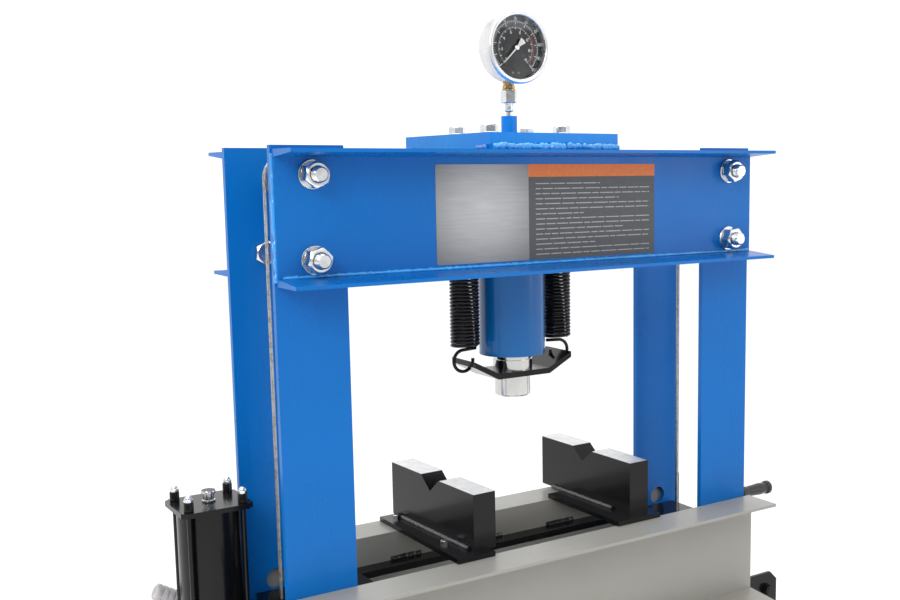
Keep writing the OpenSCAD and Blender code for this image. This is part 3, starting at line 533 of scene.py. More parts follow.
# ---------------------------------------------------------------- top plate, its screws and welds
def top_plate_details():
    plate_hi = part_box("top_plate")[1]
    beam_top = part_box("beam_channel_front")[1].z
    plate_top = beam_top + 0.0275
    parts = []
    up = Vector((0, 0, 1))
    m18_across, washer_t = 0.027, 0.004
    washer = [
        (0.0, 0.0), (0.0155, 0.0), (0.016, 0.0006), (0.016, 0.0034), (0.0155, washer_t), (0.0, washer_t)]
    shank = [(0.0, 0.0), (0.008, 0.0), (0.009, 0.001), (0.009, 0.0495), (0.0, 0.0495)]
    random.seed(7)
    for x in (-0.074, 0.074):
        for y in (-0.054, 0.054):
            base = Vector((x, y, plate_top))
            parts.append(spun(base, up, washer))
            parts.append(turned_nut(base + up * washer_t, up, m18_across, 0.012, 0.0, random.random(), False))
            parts.append(spun(Vector((x, y, beam_top - 0.022)), up, shank, 24))
    o = zinc_piece("top_plate_screws_detailed", parts)
    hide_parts("top_plate_screws")
    w, d = plate_hi.x, plate_hi.y
    seam = beam_top + 0.0035
    # Front welds in the lighter weld blue: painted highlight; the rear and side welds stay in blue_weld.
    bead("weld_top_plate_front", [(-w + 0.003, -d - 0.001, seam), (w - 0.002, -d - 0.001, seam)],
         0.0078, "weld_painted_highlight", ROOT, 11, 0.007, 0.30)
    rng = random.Random(9)
    lumps = []
    count, inset = 16, 0.012
    turns = [math.radians(15 * j) for j in range(-6, 7)]
    for k in range(count):
        x = -w + inset + 2 * (w - inset) * k / (count - 1) + rng.uniform(-0.004, 0.004)
        size = rng.uniform(0.0035, 0.0070)
        dome = [(size * math.cos(a), size * math.sin(a)) for a in turns]
        centre = Vector((x, -d - 0.003 - size * 0.4, beam_top + size * 0.9))
        lumps.append(spun(centre, Vector((0.3, -1, 0.5)).normalized(), dome, 14))
    name = "weld_top_plate_lumps"
    sharp(link(name, mesh_of(name, *joined(lumps)), "weld_painted_highlight", ROOT), 80)
    web_lo, web_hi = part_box("beam_channel_front")
    web_y = web_hi.y - 0.001
    seam_y, seam_z = web_hi.y - 0.0095, web_lo.z + 0.0125
    for x, tag in ((web_lo.x, "left"), (web_hi.x, "right")):
        bead(f"weld_beam_end_{tag}", [(x, web_y, web_lo.z + 0.006), (x, web_y, web_hi.z - 0.006)],
             0.0034, "weld_painted_highlight", ROOT, 15, 0.012, 0.30)
    bead("weld_beam_seam_front", [(-0.466, seam_y, seam_z), (0.466, seam_y, seam_z)],
         0.0032, "weld_painted_highlight", ROOT, 14, 0.006, 0.30)
    bead("weld_top_plate_rear", [(-w + 0.01, d + 0.001, seam), (w - 0.01, d + 0.001, seam)],
         0.0062, "blue_weld", ROOT, 12, 0.009)
    for side in (-1, 1):
        for s in (-1, 1):
            x = side * (w + 0.001)
            bead(f"weld_top_plate_side_{'l' if side < 0 else 'r'}{'f' if s < 0 else 'b'}",
                 [(x, s * (d - 0.035), seam), (x, s * (d - 0.004), seam)],
                 0.005, "blue_weld", ROOT, 13 + side + s, 0.008)
    ring = [(0.0155 * math.cos(a), 0.0155 * math.sin(a), plate_top + 0.001) for a in
            [2 * math.pi * k / 28 for k in range(29)]]
    bead("weld_gauge_boss", ring, 0.0032, "blue_weld", ROOT, 19, 0.005)


top_plate_details()


# ---------------------------------------------------------------- springs
def coil(name, node):
    """The close wound coil of one return spring."""
    lo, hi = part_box(node)
    c = (lo + hi) / 2
    wire = 0.00285
    radius = (hi.x - lo.x) / 2 - wire
    length = hi.z - lo.z - 2 * wire
    pitch = 0.0062
    turns = length / pitch
    per = 28
    pts = []
    total = int(turns * per)
    for i in range(total + 1):
        a = 2 * math.pi * i / per
        pts.append((c.x + radius * math.cos(a), c.y + radius * math.sin(a), lo.z + wire + length * i / total))
    v, f = tube(pts, wire, 8)
    o = bpy.data.objects.new(name, mesh_of(name, v, f))
    bpy.context.scene.collection.objects.link(o)
    for p in o.data.polygons:
        p.use_smooth = True
    o.data.materials.append(MAT["black"])
    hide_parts(node)
    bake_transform(o)


coil("return_spring_left", "spring_left")
coil("return_spring_right", "spring_right")


def spring_hooks():
    """The open end hooks of the coils, which pass up through the tips of the yoke."""
    lo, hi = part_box("lower_spring_hooks")
    wire = 0.003
    ring_r = (hi.z - lo.z) / 2 - wire
    ring_x = hi.x - wire - ring_r
    ring_z = (lo.z + hi.z) / 2
    parts = []
    for s in (-1, 1):
        pts = [(s * (ring_x - 0.026), 0.0012, ring_z + ring_r + 0.0012),
               (s * (ring_x - 0.012), 0.0005, ring_z + ring_r + 0.0006)]
        for k in range(41):
            a = math.radians(90 - 278 * k / 40)
            pts.append((s * (ring_x + ring_r * math.cos(a)), 0, ring_z + ring_r * math.sin(a)))
        parts.append(tube(pts, wire, 12))
    v, f = joined(parts)
    o = link("lower_hooks_detailed", mesh_of("lower_hooks_detailed", v, f), "black", RAM)
    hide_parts("lower_spring_hooks")


spring_hooks()


# ---------------------------------------------------------------- ropes
def strand_paths(points, lay, core_r, strand_r, strands=6):
    """Helical strands around a rope's own route, as separate tubes."""
    pts = [Vector(p) for p in points]
    dist = [0.0]
    for a, b in zip(pts[:-1], pts[1:]):
        dist.append(dist[-1] + (b - a).length)
    step = lay / 9
    n = max(2, int(dist[-1] / step))
    samples, tangents, seg = [], [], 0
    for i in range(n + 1):
        d = dist[-1] * i / n
        while seg < len(dist) - 2 and dist[seg + 1] < d:
            seg += 1
        t = (d - dist[seg]) / max(1e-9, dist[seg + 1] - dist[seg])
        samples.append((pts[seg].lerp(pts[seg + 1], t), d))
        tangents.append((pts[seg + 1] - pts[seg]).normalized())
    u = frame_for(tangents[0])[1]
    frames = []
    for t in tangents:
        u = (u - t * u.dot(t)).normalized()
        frames.append((u, t.cross(u)))
    parts = []
    for k in range(strands):
        path = []
        for (p, d), (uu, ww) in zip(samples, frames):
            a = 2 * math.pi * (k / strands + d / lay)
            path.append(p + (uu * math.cos(a) + ww * math.sin(a)) * (core_r + strand_r))
        parts.append(tube(path, strand_r, 6))
    return joined(parts)


ROPE_R = 0.003
LAY = 0.034
STRAND_R = 0.00098
CORE_R = ROPE_R - 2 * STRAND_R


def arc(cx, y, cz, r, a0, a1, n=24):
    return [(cx + r * math.cos(math.radians(a0 + (a1 - a0) * k / n)), y,
             cz + r * math.sin(math.radians(a0 + (a1 - a0) * k / n))) for k in range(n + 1)]


def ropes():
    falls_lo, falls_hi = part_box("rope_falls")
    left_x, right_x = falls_lo.x + ROPE_R, falls_hi.x - ROPE_R
    left_y, right_y = falls_hi.y - ROPE_R, falls_lo.y + ROPE_R
    fall_top, fall_low = falls_hi.z, falls_lo.z
    sl, sr = mid("sheave_left"), mid("sheave_right")
    rl = sl.x - left_x
    rr = sr.x - right_x
    top_z = sl.z + rl
    runs_lo, runs_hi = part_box("rope_runs")
    guide_y = runs_hi.y - ROPE_R
    low_z = runs_lo.z
    out_x = runs_hi.x - ROPE_R
    route_a = [(left_x, left_y, fall_top)] + arc(sl.x, left_y, sl.z, rl, 180, 90)
    bend = []
    for k in range(-6, 7):
        t = k / 6
        bend.append((t * 0.02, guide_y - 0.0012 * t * t, top_z))
    route_a += bend + arc(sr.x, left_y, sr.z, rr, 90, 0) + [(out_x, left_y, low_z)]
    route_b = arc(sr.x, right_y, sr.z, rr, 180, 0) + [(out_x, right_y, low_z)]
    parts = [strand_paths(r, LAY, CORE_R, STRAND_R) for r in (route_a, route_b)]
    v, f = joined(parts)
    o = link("wire_rope_runs", mesh_of("wire_rope_runs", v, f), "rope", ROOT)
    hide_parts("rope_runs")
    parts = [strand_paths([(x, y, fall_top), (x, y, fall_low)], LAY, CORE_R, STRAND_R)
             for x, y in ((left_x, left_y), (right_x, right_y))]
    v, f = joined(parts)
    o = bpy.data.objects.new("wire_rope_falls", mesh_of("wire_rope_falls", v, f))
    bpy.context.scene.collection.objects.link(o)
    for p in o.data.polygons:
        p.use_smooth = True
    o.data.materials.append(MAT["rope"])
    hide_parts("rope_falls")
    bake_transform(o)
    drum = mid("rope_wraps")
    w_lo, w_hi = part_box("rope_wraps")
    r = (w_hi.x - w_lo.x) / 2 - (ROPE_R - 0.0002)
    parts = []
    for y in (w_hi.y - 0.0028, w_lo.y + 0.0148, w_lo.y + 0.0088, w_lo.y + 0.0028):
        ring = arc(drum.x, y, drum.z, r, 0, 360, 60)
        parts.append(strand_paths(ring, LAY, CORE_R, STRAND_R * 0.97))
    v, f = joined(parts)
    o = link("wire_rope_wraps", mesh_of("wire_rope_wraps", v, f), "rope", "winch_drum")
    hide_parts("rope_wraps")


ropes()


# ---------------------------------------------------------------- pressure gauge
def flat(name, color, rough, vary=0.08):
    """A printed or moulded surface with a faint mottle."""
    s = Shade(name, color, rough)
    tone = s.ramp(s.noise(180.0, 3.0), [(0.3, darker(color, 1 - vary)), (0.7, darker(color, 1 + vary))])
    s.bump(s.noise(1500.0, 2.0), 0.000008)
    return s.done(tone, s.span(s.noise(300.0, 2.0), rough * 0.9, rough * 1.1))


def dial_look(level):
    """Black dial, paler above the level of its damping liquid."""
    s = Shade("dial_print", (0.02, 0.02, 0.02), 0.35)
    split = s.node("ShaderNodeSeparateXYZ")
    s.link(s.coords.outputs["Object"], split.inputs["Vector"])
    mask = s.span(split.outputs["Z"], 0.0, 1.0, level - 0.0004, level + 0.0004)
    black = s.ramp(s.noise(90.0), [(0.3, (0.006, 0.006, 0.007)), (0.7, (0.011, 0.011, 0.012))])
    pale = s.ramp(s.noise(120.0), [(0.3, (0.085, 0.087, 0.090)), (0.7, (0.115, 0.117, 0.12))])
    return s.done(s.mix(mask, black, pale))


WINDOW_Z = (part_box("gauge_window")[0].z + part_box("gauge_window")[1].z) / 2
GAUGE = Vector((0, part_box("gauge_case")[1].y, WINDOW_Z))
FACE = Vector((0, -1, 0))
MAT["dial"] = dial_look(GAUGE.z + 0.032)
MAT["print"] = flat("dial_numbers", (0.88, 0.88, 0.86), 0.5)
MAT["print_red"] = flat("dial_red_arc", (0.50, 0.05, 0.05), 0.5)
MAT["needle"] = flat("needle_enamel", (0.72, 0.71, 0.66), 0.4)


def glass_look():
    s = Shade("gauge_glass", (0.98, 0.99, 0.99), 0.03)
    tone = s.ramp(s.noise(20.0, 2.0), [(0.3, (0.96, 0.98, 0.98)), (0.7, (1.0, 1.0, 1.0))])
    return s.done(tone, s.span(s.noise(60.0), 0.015, 0.04), Transmission_Weight=1.0, IOR=1.12)


MAT["glass"] = glass_look()


def on_dial(r, degrees, h):
    """A point on the dial: degrees clockwise from the top, h in front of the case's back."""
    a = math.radians(degrees)
    return GAUGE + Vector((r * math.sin(a), 0, r * math.cos(a))) + FACE * h


INK_T = 0.00012
BLOCK_FACES = [(0, 1, 2, 3), (7, 6, 5, 4), (0, 4, 5, 1), (1, 5, 6, 2), (2, 6, 7, 3), (3, 7, 4, 0)]
SLAB_FACES = [(3, 2, 1, 0), (4, 5, 6, 7), (0, 1, 5, 4), (1, 2, 6, 5), (2, 3, 7, 6), (3, 0, 4, 7)]


def dial_bar(r0, r1, degrees, width, h):
    a = math.radians(degrees)
    side = Vector((math.cos(a), 0, -math.sin(a))) * (width / 2)
    p, q = on_dial(r0, degrees, h), on_dial(r1, degrees, h)
    lift = FACE * INK_T
    v = [p - side, p + side, q + side, q - side]
    v += [x + lift for x in v]
    return v, BLOCK_FACES


def dial_arc(r0, r1, from_deg, to_deg, h, n=60):
    v, f = [], []
    for k in range(n + 1):
        d = from_deg + (to_deg - from_deg) * k / n
        for r in (r0, r1):
            v.append(on_dial(r, d, h))
        for r in (r0, r1):
            v.append(on_dial(r, d, h + INK_T))
    for k in range(n):
        a, b = 4 * k, 4 * k + 4
        f += [(a, a + 1, b + 1, b), (a + 2, b + 2, b + 3, a + 3),
              (a, b, b + 2, a + 2), (a + 1, a + 3, b + 3, b + 1)]
    f += [(0, 2, 3, 1), (4 * n, 4 * n + 1, 4 * n + 3, 4 * n + 2)]
    return v, f


SEGMENTS = {
    "0": "abcdef", "1": "bc", "2": "abged", "3": "abgcd", "4": "fgbc", "5": "afgcd",
    "6": "afgedc", "7": "abc", "8": "abcdefg", "9": "abcdfg",
}


def digit_bars(text, centre, size):
    """Plain stroke numerals, built from small bars that face the viewer."""
    w, t = size * 0.5, size * 0.17
    gap = size * 0.74
    x0 = -gap * (len(text) - 1) / 2
    lines = {
        "a": ((-w / 2, size / 2), (w / 2, size / 2)), "b": ((w / 2, size / 2), (w / 2, 0)),
        "c": ((w / 2, 0), (w / 2, -size / 2)), "d": ((-w / 2, -size / 2), (w / 2, -size / 2)),
        "e": ((-w / 2, 0), (-w / 2, -size / 2)), "f": ((-w / 2, size / 2), (-w / 2, 0)),
        "g": ((-w / 2, 0), (w / 2, 0)),
    }
    parts = []
    for i, ch in enumerate(text):
        for key in SEGMENTS[ch]:
            (ax, az), (bx, bz) = lines[key]
            a = centre + Vector((x0 + i * gap + ax, 0, az))
            b = centre + Vector((x0 + i * gap + bx, 0, bz))
            along = (b - a).normalized()
            side = along.cross(FACE).normalized() * (t / 2)
            a, b = a - along * t / 2, b + along * t / 2
            v = [a - side, a + side, b + side, b - side]
            v += [q + FACE * INK_T for q in v]
            parts.append((v, BLOCK_FACES))
    return parts


def gauge():
    back = GAUGE
    profile = [
        (0.0, 0.0), (0.0490, 0.0), (0.0535, 0.0008), (0.0563, 0.0030), (0.0575, 0.0065), (0.0575, 0.0335),
        (0.0580, 0.0348), (0.0598, 0.0356), (0.0610, 0.0372), (0.0615, 0.0392), (0.0615, 0.0430),
        (0.0611, 0.0452), (0.0600, 0.0469), (0.0584, 0.0479), (0.0564, 0.0480), (0.0548, 0.0475),
        (0.0536, 0.0464), (0.0532, 0.0448), (0.0532, 0.0316), (0.0, 0.0316),
    ]
    v, f = spun(back, FACE, profile, 128)
    name = "gauge_case_detailed"
    o = sharp(link(name, mesh_of(name, v, f), "bezel", ROOT), 50)
    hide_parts("gauge_case")
    dial_h = 0.0327
    dial_r = 0.0530
    v, f = spun(back, FACE, [(0.0, 0.0317), (dial_r, 0.0317), (dial_r, dial_h), (0.0, dial_h)], 96)
    name = "gauge_dial_detailed"
    o = sharp(link(name, mesh_of(name, v, f), "dial", ROOT), 50)
    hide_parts("gauge_dial")
    top = dial_h + 0.00002
    parts = []
    for k in range(51):
        d = -135 + 270 * k / 50
        major = k % 5 == 0
        parts.append(dial_bar(0.0390 if major else 0.0418, 0.0452, d, 0.0010 if major else 0.0005, top))
    for k in range(57):
        d = -135 + 270 * k / 56
        major = k % 4 == 0
        parts.append(dial_bar(0.0310 if major else 0.0330, 0.0352, d, 0.0009 if major else 0.0005, top))
    for k in range(11):
        d = -135 + 27 * k
        parts += digit_bars(str(k * 10), on_dial(0.0498, d, top), 0.0042)
    for k in range(8):
        d = -135 + 270 * k / 7
        parts += digit_bars(str(k * 2), on_dial(0.0272, d, top), 0.0040)
    parts.append(dial_arc(0.0450, 0.0455, -135, 135, top))
    for x in (-0.006, 0.006):
        dot = [(0.0, top), (0.0010, top), (0.0010, top + INK_T), (0.0, top + INK_T)]
        parts.append(spun(back + Vector((x, 0, -0.042)), FACE, dot, 16))
    v, f = joined(parts)
    link("gauge_dial_scale", mesh_of("gauge_dial_scale", v, f), "print", ROOT, False)
    v, f = dial_arc(0.0372, 0.0381, 54, 135, top)
    name = "gauge_dial_limit_arc"
    link(name, mesh_of(name, v, f), "print_red", ROOT, False)
    lens = [
        (0.0, 0.0434), (0.0531, 0.0434), (0.0531, 0.0444), (0.038, 0.0448), (0.016, 0.0451), (0.0, 0.0452)]
    v, f = spun(back, FACE, lens, 96)
    name = "gauge_window_detailed"
    o = link(name, mesh_of(name, v, f), "glass", ROOT)
    sharp(o, 40)
    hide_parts("gauge_window")
    # needle, counterweight and hub
    a = math.radians(-135)
    along = Vector((math.sin(a), 0, math.cos(a)))
    side = Vector((math.cos(a), 0, -math.sin(a)))
    h0, h1 = 0.0375, 0.0382
    outline = [(-0.0180, 0.0062), (-0.0190, 0.0), (-0.0180, -0.0062), (-0.002, -0.0013), (0.036, -0.0006),
               (0.0395, 0.0), (0.036, 0.0006), (-0.002, 0.0013)]
    v = [back + FACE * h + along * x + side * y for h in (h0, h1) for x, y in outline]
    n = len(outline)
    f = [tuple(range(n)), tuple(reversed(range(n, 2 * n)))]
    f += [(i, i + n, (i + 1) % n + n, (i + 1) % n) for i in range(n)]
    name = "gauge_pointer"
    o = link(name, mesh_of(name, v, f), "needle", "gauge_needle", False)
    sharp(o, 30)
    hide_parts("gauge_needle")
    hub = joined([
        spun(back, FACE, [
            (0.0, 0.0335), (0.0019, 0.0335), (0.0019, h0), (0.0036, h0), (0.0040, h0 + 0.0004),
            (0.0040, h1 + 0.0008), (0.0034, h1 + 0.0013), (0.0, h1 + 0.0014)], 40),
        dial_bar(-0.0024, 0.0024, 40, 0.0006, h1 + 0.0014),
    ])
    name = "gauge_pointer_hub"
    sharp(link(name, mesh_of(name, *hub), "zinc", "gauge_needle"), 30)


def gauge_fittings():
    """Adapter nut over the boss, and the brass hexagon with its two collars."""
    up = Vector((0, 0, 1))
    lo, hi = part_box("gauge_adapter")
    axis = Vector((0, 0, lo.z))
    nut_across, nut_h = 0.0264, 0.022
    nut_z = hi.z - lo.z - nut_h
    shank = [
        (0.0, 0.0), (0.0058, 0.0), (0.0058, 0.007), (0.0080, 0.0085), (0.0083, 0.0095), (0.0083, 0.0135),
        (0.0078, 0.0145), (0.0078, nut_z - 0.002), (0.0084, nut_z - 0.0005), (0.0084, nut_z), (0.0, nut_z)]
    parts = [
        spun(axis, up, shank, 48),
        turned_nut(axis + up * nut_z, up, nut_across, nut_h, 0.0, 0.3),
    ]
    o = zinc_piece("gauge_adapter_detailed", parts)
    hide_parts("gauge_adapter")
    lo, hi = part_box("gauge_stem")
    base = Vector((0, 0, lo.z))
    hex_h = hi.z - lo.z - 0.0045
    low_h, hex_across = 0.0030, 0.0190
    low = [(0.0, 0.0), (0.0118, 0.0), (0.0122, 0.0006), (0.0122, 0.0024), (0.0112, low_h), (0.0, low_h)]
    neck = [(0.0, 0.0), (0.0096, 0.0), (0.0096, 0.0028), (0.0112, 0.0034), (0.0112, 0.0052), (0.0, 0.0052)]
    parts = [
        spun(base, up, low, 48),
        turned_nut(base + up * low_h, up, hex_across, hex_h - 0.004, 0.0, 0.45),
        spun(base + up * (hex_h - 0.001), up, neck, 48),
    ]
    name = "gauge_stem_detailed"
    o = sharp(link(name, mesh_of(name, *joined(parts)), "brass", ROOT), 25)
    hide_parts("gauge_stem")


gauge()
gauge_fittings()


# ---------------------------------------------------------------- blank label
def film_panel(name, x0, x1, z0, z1, y, thick, look, r=0.003):
    """A thin printed film with round corners."""
    outline = []
    corners = ((x1 - r, z1 - r, 0), (x0 + r, z1 - r, 90), (x0 + r, z0 + r, 180), (x1 - r, z0 + r, 270))
    for cx, cz, a0 in corners:
        for k in range(5):
            a = math.radians(a0 + 90 * k / 4)
            outline.append((cx + r * math.cos(a), cz + r * math.sin(a)))
    n = len(outline)
    v = [(x, yy, z) for yy in (y, y - thick) for x, z in outline]
    f = [tuple(range(n)), tuple(reversed(range(n, 2 * n)))]
    f += [(i, (i + 1) % n, (i + 1) % n + n, i + n) for i in range(n)]
    o = link(name, mesh_of(name, v, f), look, ROOT, False)
    return sharp(o, 30)


def silver_film_painted_highlight(x_mid, z_mid):
    """Brushed silver film with a painted highlight: brighter in its middle, darker towards its edges."""
    s = Shade("silver_film_painted_highlight", (0.42, 0.42, 0.42), 0.42, 0.15)
    m = s.mapped()
    dist = s.node("ShaderNodeVectorMath", operation="DISTANCE")
    dist.inputs[1].default_value = (x_mid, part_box("label_panel")[0].y, z_mid)
    s.link(m, dist.inputs[0])
    # Painted highlight: bright in the middle of the film, falling off towards its edges.
    tone = s.ramp(dist.outputs["Value"], [
        (0.0, (0.46, 0.46, 0.46)), (0.055, (0.38, 0.38, 0.38)), (0.115, (0.20, 0.20, 0.205))])
    hairs = s.noise(240.0, 3.0, 0.6, (0.06, 1, 1))
    brushed = s.ramp(hairs, [(0.3, (0.86, 0.86, 0.86)), (0.7, (1.0, 1.0, 1.0))])
    return s.done(s.mix(1.0, tone, brushed, "MULTIPLY"))


def label():
    lo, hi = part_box("label_panel")
    split = lo.x + 0.175
    strip = 0.021
    MAT["silver"] = silver_film_painted_highlight((lo.x + split) / 2, (lo.z + hi.z) / 2 + 0.01)
    MAT["orange"] = flat("orange_film", (0.66, 0.15, 0.02), 0.45)
    MAT["slate"] = flat("slate_film", (0.055, 0.058, 0.062), 0.45, vary=0.10)
    MAT["rule"] = flat("rule_print", (0.34, 0.34, 0.34), 0.5)
    y = hi.y
    t = 0.0006
    a = film_panel("label_silver", lo.x, split, lo.z, hi.z, y, t, "silver")
    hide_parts("label_panel")
    film_panel("label_orange", split, hi.x, hi.z - strip, hi.z, y, t, "orange", 0.0015)
    film_panel("label_slate", split, hi.x, lo.z, hi.z - strip, y, t * 0.9, "slate", 0.0015)
    rng = random.Random(5)
    parts = []
    rows, dash_h, dash_t = 15, 0.0016, 0.00015
    for i in range(rows):
        z = hi.z - strip - 0.012 - i * (hi.z - strip - lo.z - 0.020) / (rows - 1)
        x0 = split + 0.014
        end = hi.x - (0.012 if i % 3 else rng.uniform(0.06, 0.16))
        while x0 < end:
            w = min(rng.uniform(0.010, 0.034), end - x0)
            v = [(x0, y - t, z), (x0 + w, y - t, z), (x0 + w, y - t, z + dash_h), (x0, y - t, z + dash_h)]
            v += [(px, py - dash_t, pz) for px, py, pz in v]
            parts.append(([Vector(q) for q in v], SLAB_FACES))
            x0 += w + 0.003
    link("label_rules", mesh_of("label_rules", *joined(parts)), "rule", ROOT, False)


label()


# ---------------------------------------------------------------- V blocks
V_BLOCKS = {
    "left": dict(at=(-0.1435, -0.098), turn=2.3, v=0.1425, weld=(0.015, 0.242),
                 screws=((-0.1630, -0.030), (-0.1630, 0.152))),
    "right": dict(at=(0.1955, -0.092), turn=1.4, v=0.146, weld=(0.050, 0.241), screws=()),
}
BLOCK_W, BLOCK_L, NOTCH = 0.044, 0.280, 0.030


def vblock_details():
    up = Vector((0, 0, 1))
    for side, b in V_BLOCKS.items():
        node = f"vblock_{side}"
        lo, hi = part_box(node)
        top_base = lo.z + 0.0085
        turn = Matrix.Rotation(math.radians(b["turn"]), 3, "Z")
        corner = Vector((*b["at"], 0))

        def at(x, y, z):
            return corner + turn @ Vector((x, y, 0)) + up * z

        for tag, x, size, seed in (("near", -0.0015, 0.0048, 21), ("far", BLOCK_W + 0.0015, 0.0042, 22)):
            if side == "left" and tag == "far":
                continue
            path = [at(x, y, top_base + 0.0015) for y in b["weld"]]
            bead(f"weld_vblock_{side}_{tag}", path, size, "black_weld", node, seed, 0.0062)
        # Thin pale film on the top faces: painted reflection on the gloss black paint.
        tops = []
        edge, film = 0.0012, 0.00012
        for y0, y1 in ((edge, b["v"] - NOTCH - edge), (b["v"] + NOTCH + edge, BLOCK_L - edge)):
            corners = ((edge, y0), (BLOCK_W - edge, y0), (BLOCK_W - edge, y1), (edge, y1))
            low = [at(x, y, hi.z) for x, y in corners]
            high = [p + up * film for p in low]
            tops.append((low + high, SLAB_FACES))
        name = f"vblock_{side}_painted_reflection_tops"
        link(name, mesh_of(name, *joined(tops)), "vblock_painted_reflection", node, False)
        parts = [turned_nut(Vector((x, y, top_base)), up, 0.0118, 0.0062, 0.0, 0.2 + 3 * y, False)
                 for x, y in b["screws"]]
        if parts:
            zinc_piece(f"vblock_{side}_screws", parts, node)


vblock_details()


# ---------------------------------------------------------------- air motor
def air_motor():
    up = Vector((0, 0, 1))
    lo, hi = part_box("air_motor_plates")
    cx, cy = (lo.x + hi.x) / 2, mid("tie_rods").y
    r_lo, r_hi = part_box("tie_rods")
    dx, dy = (r_hi.x - r_lo.x) / 2 - 0.0075, (r_hi.y - r_lo.y) / 2 - 0.0075
    plate_top = lo.z + 0.240
    rod_l = plate_top - r_lo.z
    rod = [(0.0, 0.0), (0.0038, 0.0), (0.004, 0.001), (0.004, rod_l), (0.0, rod_l)]
    sleeve = [(0.0, 0.0), (0.0074, 0.0), (0.0076, 0.0006), (0.0075, 0.0012), (0.0075, 0.0138),
              (0.0068, 0.015), (0.0, 0.015)]
    dome_r = 0.0059
    dome = [(0.0, 0.0), (dome_r, 0.0)]
    for k in range(1, 10):
        a = math.radians(9 * k)
        dome.append((dome_r * math.cos(a), 0.0002 + 0.0062 * math.sin(a)))
    dome.append((0.0, 0.0064))
    cap_across, cap_h, cap_at, dome_at = 0.0130, 0.0046, 0.0149, 0.0193
    black, bright = [], []
    random.seed(3)
    for sx in (-1, 1):
        for sy in (-1, 1):
            foot = Vector((cx + sx * dx, cy + sy * dy, r_lo.z))
            black.append(spun(foot, up, rod, 24))
            seat = foot + up * rod_l
            black.append(spun(seat, up, sleeve, 40))
            turn = random.random()
            bright.append(turned_nut(seat + up * cap_at, up, cap_across, cap_h, 0.0, turn))
            bright.append(spun(seat + up * dome_at, up, dome, 40))
    name = "tie_rods_detailed"
    o = sharp(link(name, mesh_of(name, *joined(black)), "black", ROOT), 35)
    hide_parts("tie_rods")
    zinc_piece("tie_rod_cap_nuts", bright)
    flutes = 14

    def fluted(r, a):
        return r if r > 0.0095 or r < 0.002 else r - 0.0007 * max(0.0, math.cos(flutes * a)) ** 0.5
    plug = [(0.0, 0.0), (0.0100, 0.0), (0.0104, 0.0008), (0.0104, 0.0032), (0.0086, 0.0040), (0.0084, 0.0126),
            (0.0104, 0.0136), (0.0110, 0.0144), (0.0110, 0.0176), (0.0104, 0.0188), (0.0, 0.0190)]
    v, f = spun(Vector((cx, mid("air_motor_barrel").y, plate_top)), up, plug, 112, fluted)
    sharp(link("air_motor_plug", mesh_of("air_motor_plug", v, f), "zinc", ROOT), 30)


air_motor()


# ---------------------------------------------------------------- frame welds
def frame_welds():
    """Fillets where uprights, gussets and ties meet; all of them on the fixed frame."""
    lo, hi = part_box("upright_front_left")
    edge, front, back, floor_z = -lo.x, -lo.y, -hi.y, lo.z
    inner, centre = -hi.x, -(lo.x + hi.x) / 2
    tie_low, tie_high, side_low, side_high = 0.180, 0.300, 0.400, 0.560
    plate, gusset_end, gusset_top = 0.0055, 0.190, 0.218
    runs = []
    for sx in (-1, 1):
        for sy in (-1, 1):
            y, z = sy * (front + 0.001), floor_z + 0.002
            for a, b in ((inner, centre - plate), (centre + plate, edge)):
                runs.append([(sx * a, y, z), (sx * b, y, z)])
            runs.append([(sx * inner, sy * (back - 0.001), z), (sx * edge, sy * (back - 0.001), z)])
            for x in (centre - plate, centre + plate):
                runs.append([(sx * x, y, floor_z + gusset_top), (sx * x, y, z),
                             (sx * x, sy * (front + gusset_end), z)])
            runs.append([(sx * inner, y, tie_low + 0.002), (sx * inner, y, tie_high - 0.002)])
            x = sx * (edge + 0.0002)
            runs.append([(x, sy * back, side_low + 0.002), (x, sy * back, side_high - 0.002)])
    parts = [weld_parts(run, 0.0042, 40 + k, 0.008, 0.16) for k, run in enumerate(runs)]
    name = "weld_frame_fillets"
    sharp(link(name, mesh_of(name, *joined(parts)), "blue_weld", ROOT), 80)


frame_welds()


# ---------------------------------------------------------------- bed welds
def bed_welds():
    plate_top = 1.069
    stitches = ((-0.345, -0.285), (-0.200, -0.140), (-0.030, 0.035), (0.140, 0.205), (0.285, 0.345))
    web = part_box("bed_channel_front")[1].y - 0.001
    for sign, tag in ((-1, "front"), (1, "rear")):
        y = sign * (-web - 0.001)
        for i, (x0, x1) in enumerate(stitches):
            bead(f"weld_bed_{tag}_{i}", [(x0, y, plate_top + 0.002), (x1, y, plate_top + 0.002)],
                 0.0058, "black_weld", BED, 31 + i, 0.008)


bed_welds()


# ---------------------------------------------------------------- bevels on the CAD steel
FRAME_STEEL = [n for n in CAD_LOOKS["blue"] if n != "spring_anchor_rods"]
for n in FRAME_STEEL + ["top_plate", "cylinder_barrel"] + CAD_LOOKS["bed"]:
    soften(n, 0.0012)
for n in ("bed_tie_plates", "spring_yoke", "vblock_left", "vblock_right", "winch_bracket", "winch_crank",
          "pump_bracket", "pump_tank", "pump_head", "air_motor_plates"):
    soften(n, 0.0008)


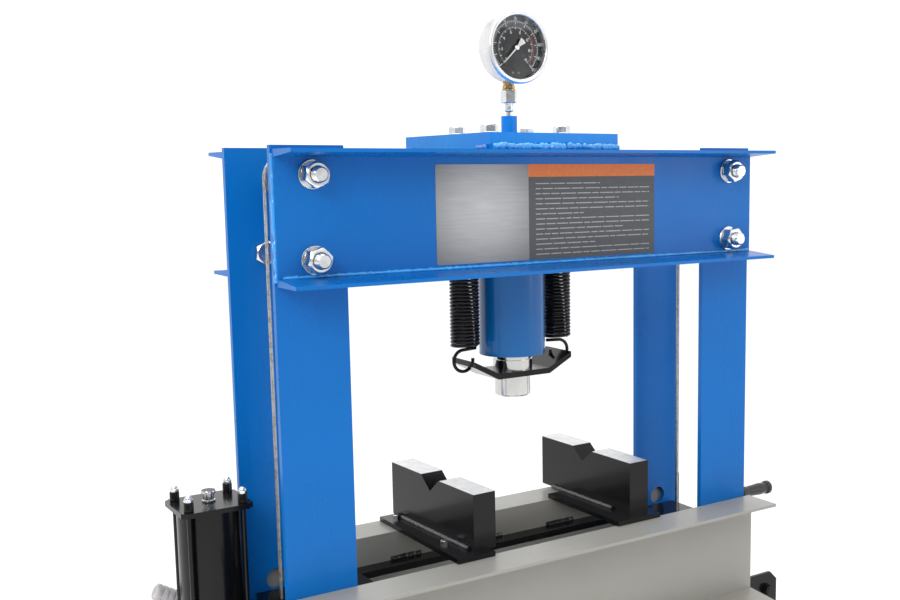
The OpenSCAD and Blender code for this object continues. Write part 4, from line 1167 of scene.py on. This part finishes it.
# ---------------------------------------------------------------- room
def sky():
    """Soft surround: white above and behind the press, greyer on the side of the camera."""
    world = bpy.data.worlds.new("studio")
    world.use_nodes = True
    tree = world.node_tree
    bg = tree.nodes["Background"]
    coords = tree.nodes.new("ShaderNodeTexCoord")
    dot = tree.nodes.new("ShaderNodeVectorMath")
    dot.operation = "DOT_PRODUCT"
    dot.inputs[1].default_value = Vector((0.46, 0.66, 0.60)).normalized()
    ramp = tree.nodes.new("ShaderNodeValToRGB")
    ramp.color_ramp.elements[0].position = 0.10
    ramp.color_ramp.elements[0].color = (0.12, 0.12, 0.125, 1)
    ramp.color_ramp.elements[1].position = 0.46
    ramp.color_ramp.elements[1].color = (1.0, 1.0, 1.0, 1)
    shift = tree.nodes.new("ShaderNodeMapRange")
    shift.inputs["From Min"].default_value = -1.0
    tree.links.new(coords.outputs["Generated"], dot.inputs[0])
    tree.links.new(dot.outputs["Value"], shift.inputs["Value"])
    tree.links.new(shift.outputs["Result"], ramp.inputs["Fac"])
    tree.links.new(ramp.outputs["Color"], bg.inputs["Color"])
    bg.inputs["Strength"].default_value = 1.2
    bpy.context.scene.world = world


def room():
    """A pale floor and soft lamps, none of them part of the object."""
    s = Shade("studio_floor", (0.92, 0.92, 0.92), 0.7)
    tone = s.ramp(s.noise(2.0), [(0.3, (0.91, 0.91, 0.91)), (0.7, (0.93, 0.93, 0.93))])
    floor_mat = s.done(tone, Specular_IOR_Level=0.2)
    half, low = 30, -0.001
    corners = [(-half, -half, low), (half, -half, low), (half, half, low), (-half, half, low)]
    m = mesh_of("floor", corners, [(0, 1, 2, 3)])
    o = bpy.data.objects.new("floor", m)
    bpy.context.scene.collection.objects.link(o)
    m.materials.append(floor_mat)
    for name, place, target, size, power, color in (
        ("key", (-3.0, -2.4, 3.6), (0, 0, 1.3), 1.8, 75, (1.0, 0.99, 0.97)),
        ("fill", (2.4, -3.0, 1.8), (0, 0, 1.4), 1.0, 10, (0.97, 0.98, 1.0)),
        ("top", (0.2, 0.4, 4.4), (0, 0, 1.2), 3.0, 60, (1.0, 1.0, 1.0)),
    ):
        data = bpy.data.lights.new(name, "AREA")
        data.shape = "SQUARE"
        data.size = size
        data.energy = power
        data.color = color
        lamp = bpy.data.objects.new(name, data)
        bpy.context.scene.collection.objects.link(lamp)
        lamp.location = place
        lamp.rotation_euler = (Vector(target) - Vector(place)).to_track_quat("-Z", "Y").to_euler()


sky()
room()
bpy.context.scene.view_settings.view_transform = "Standard"
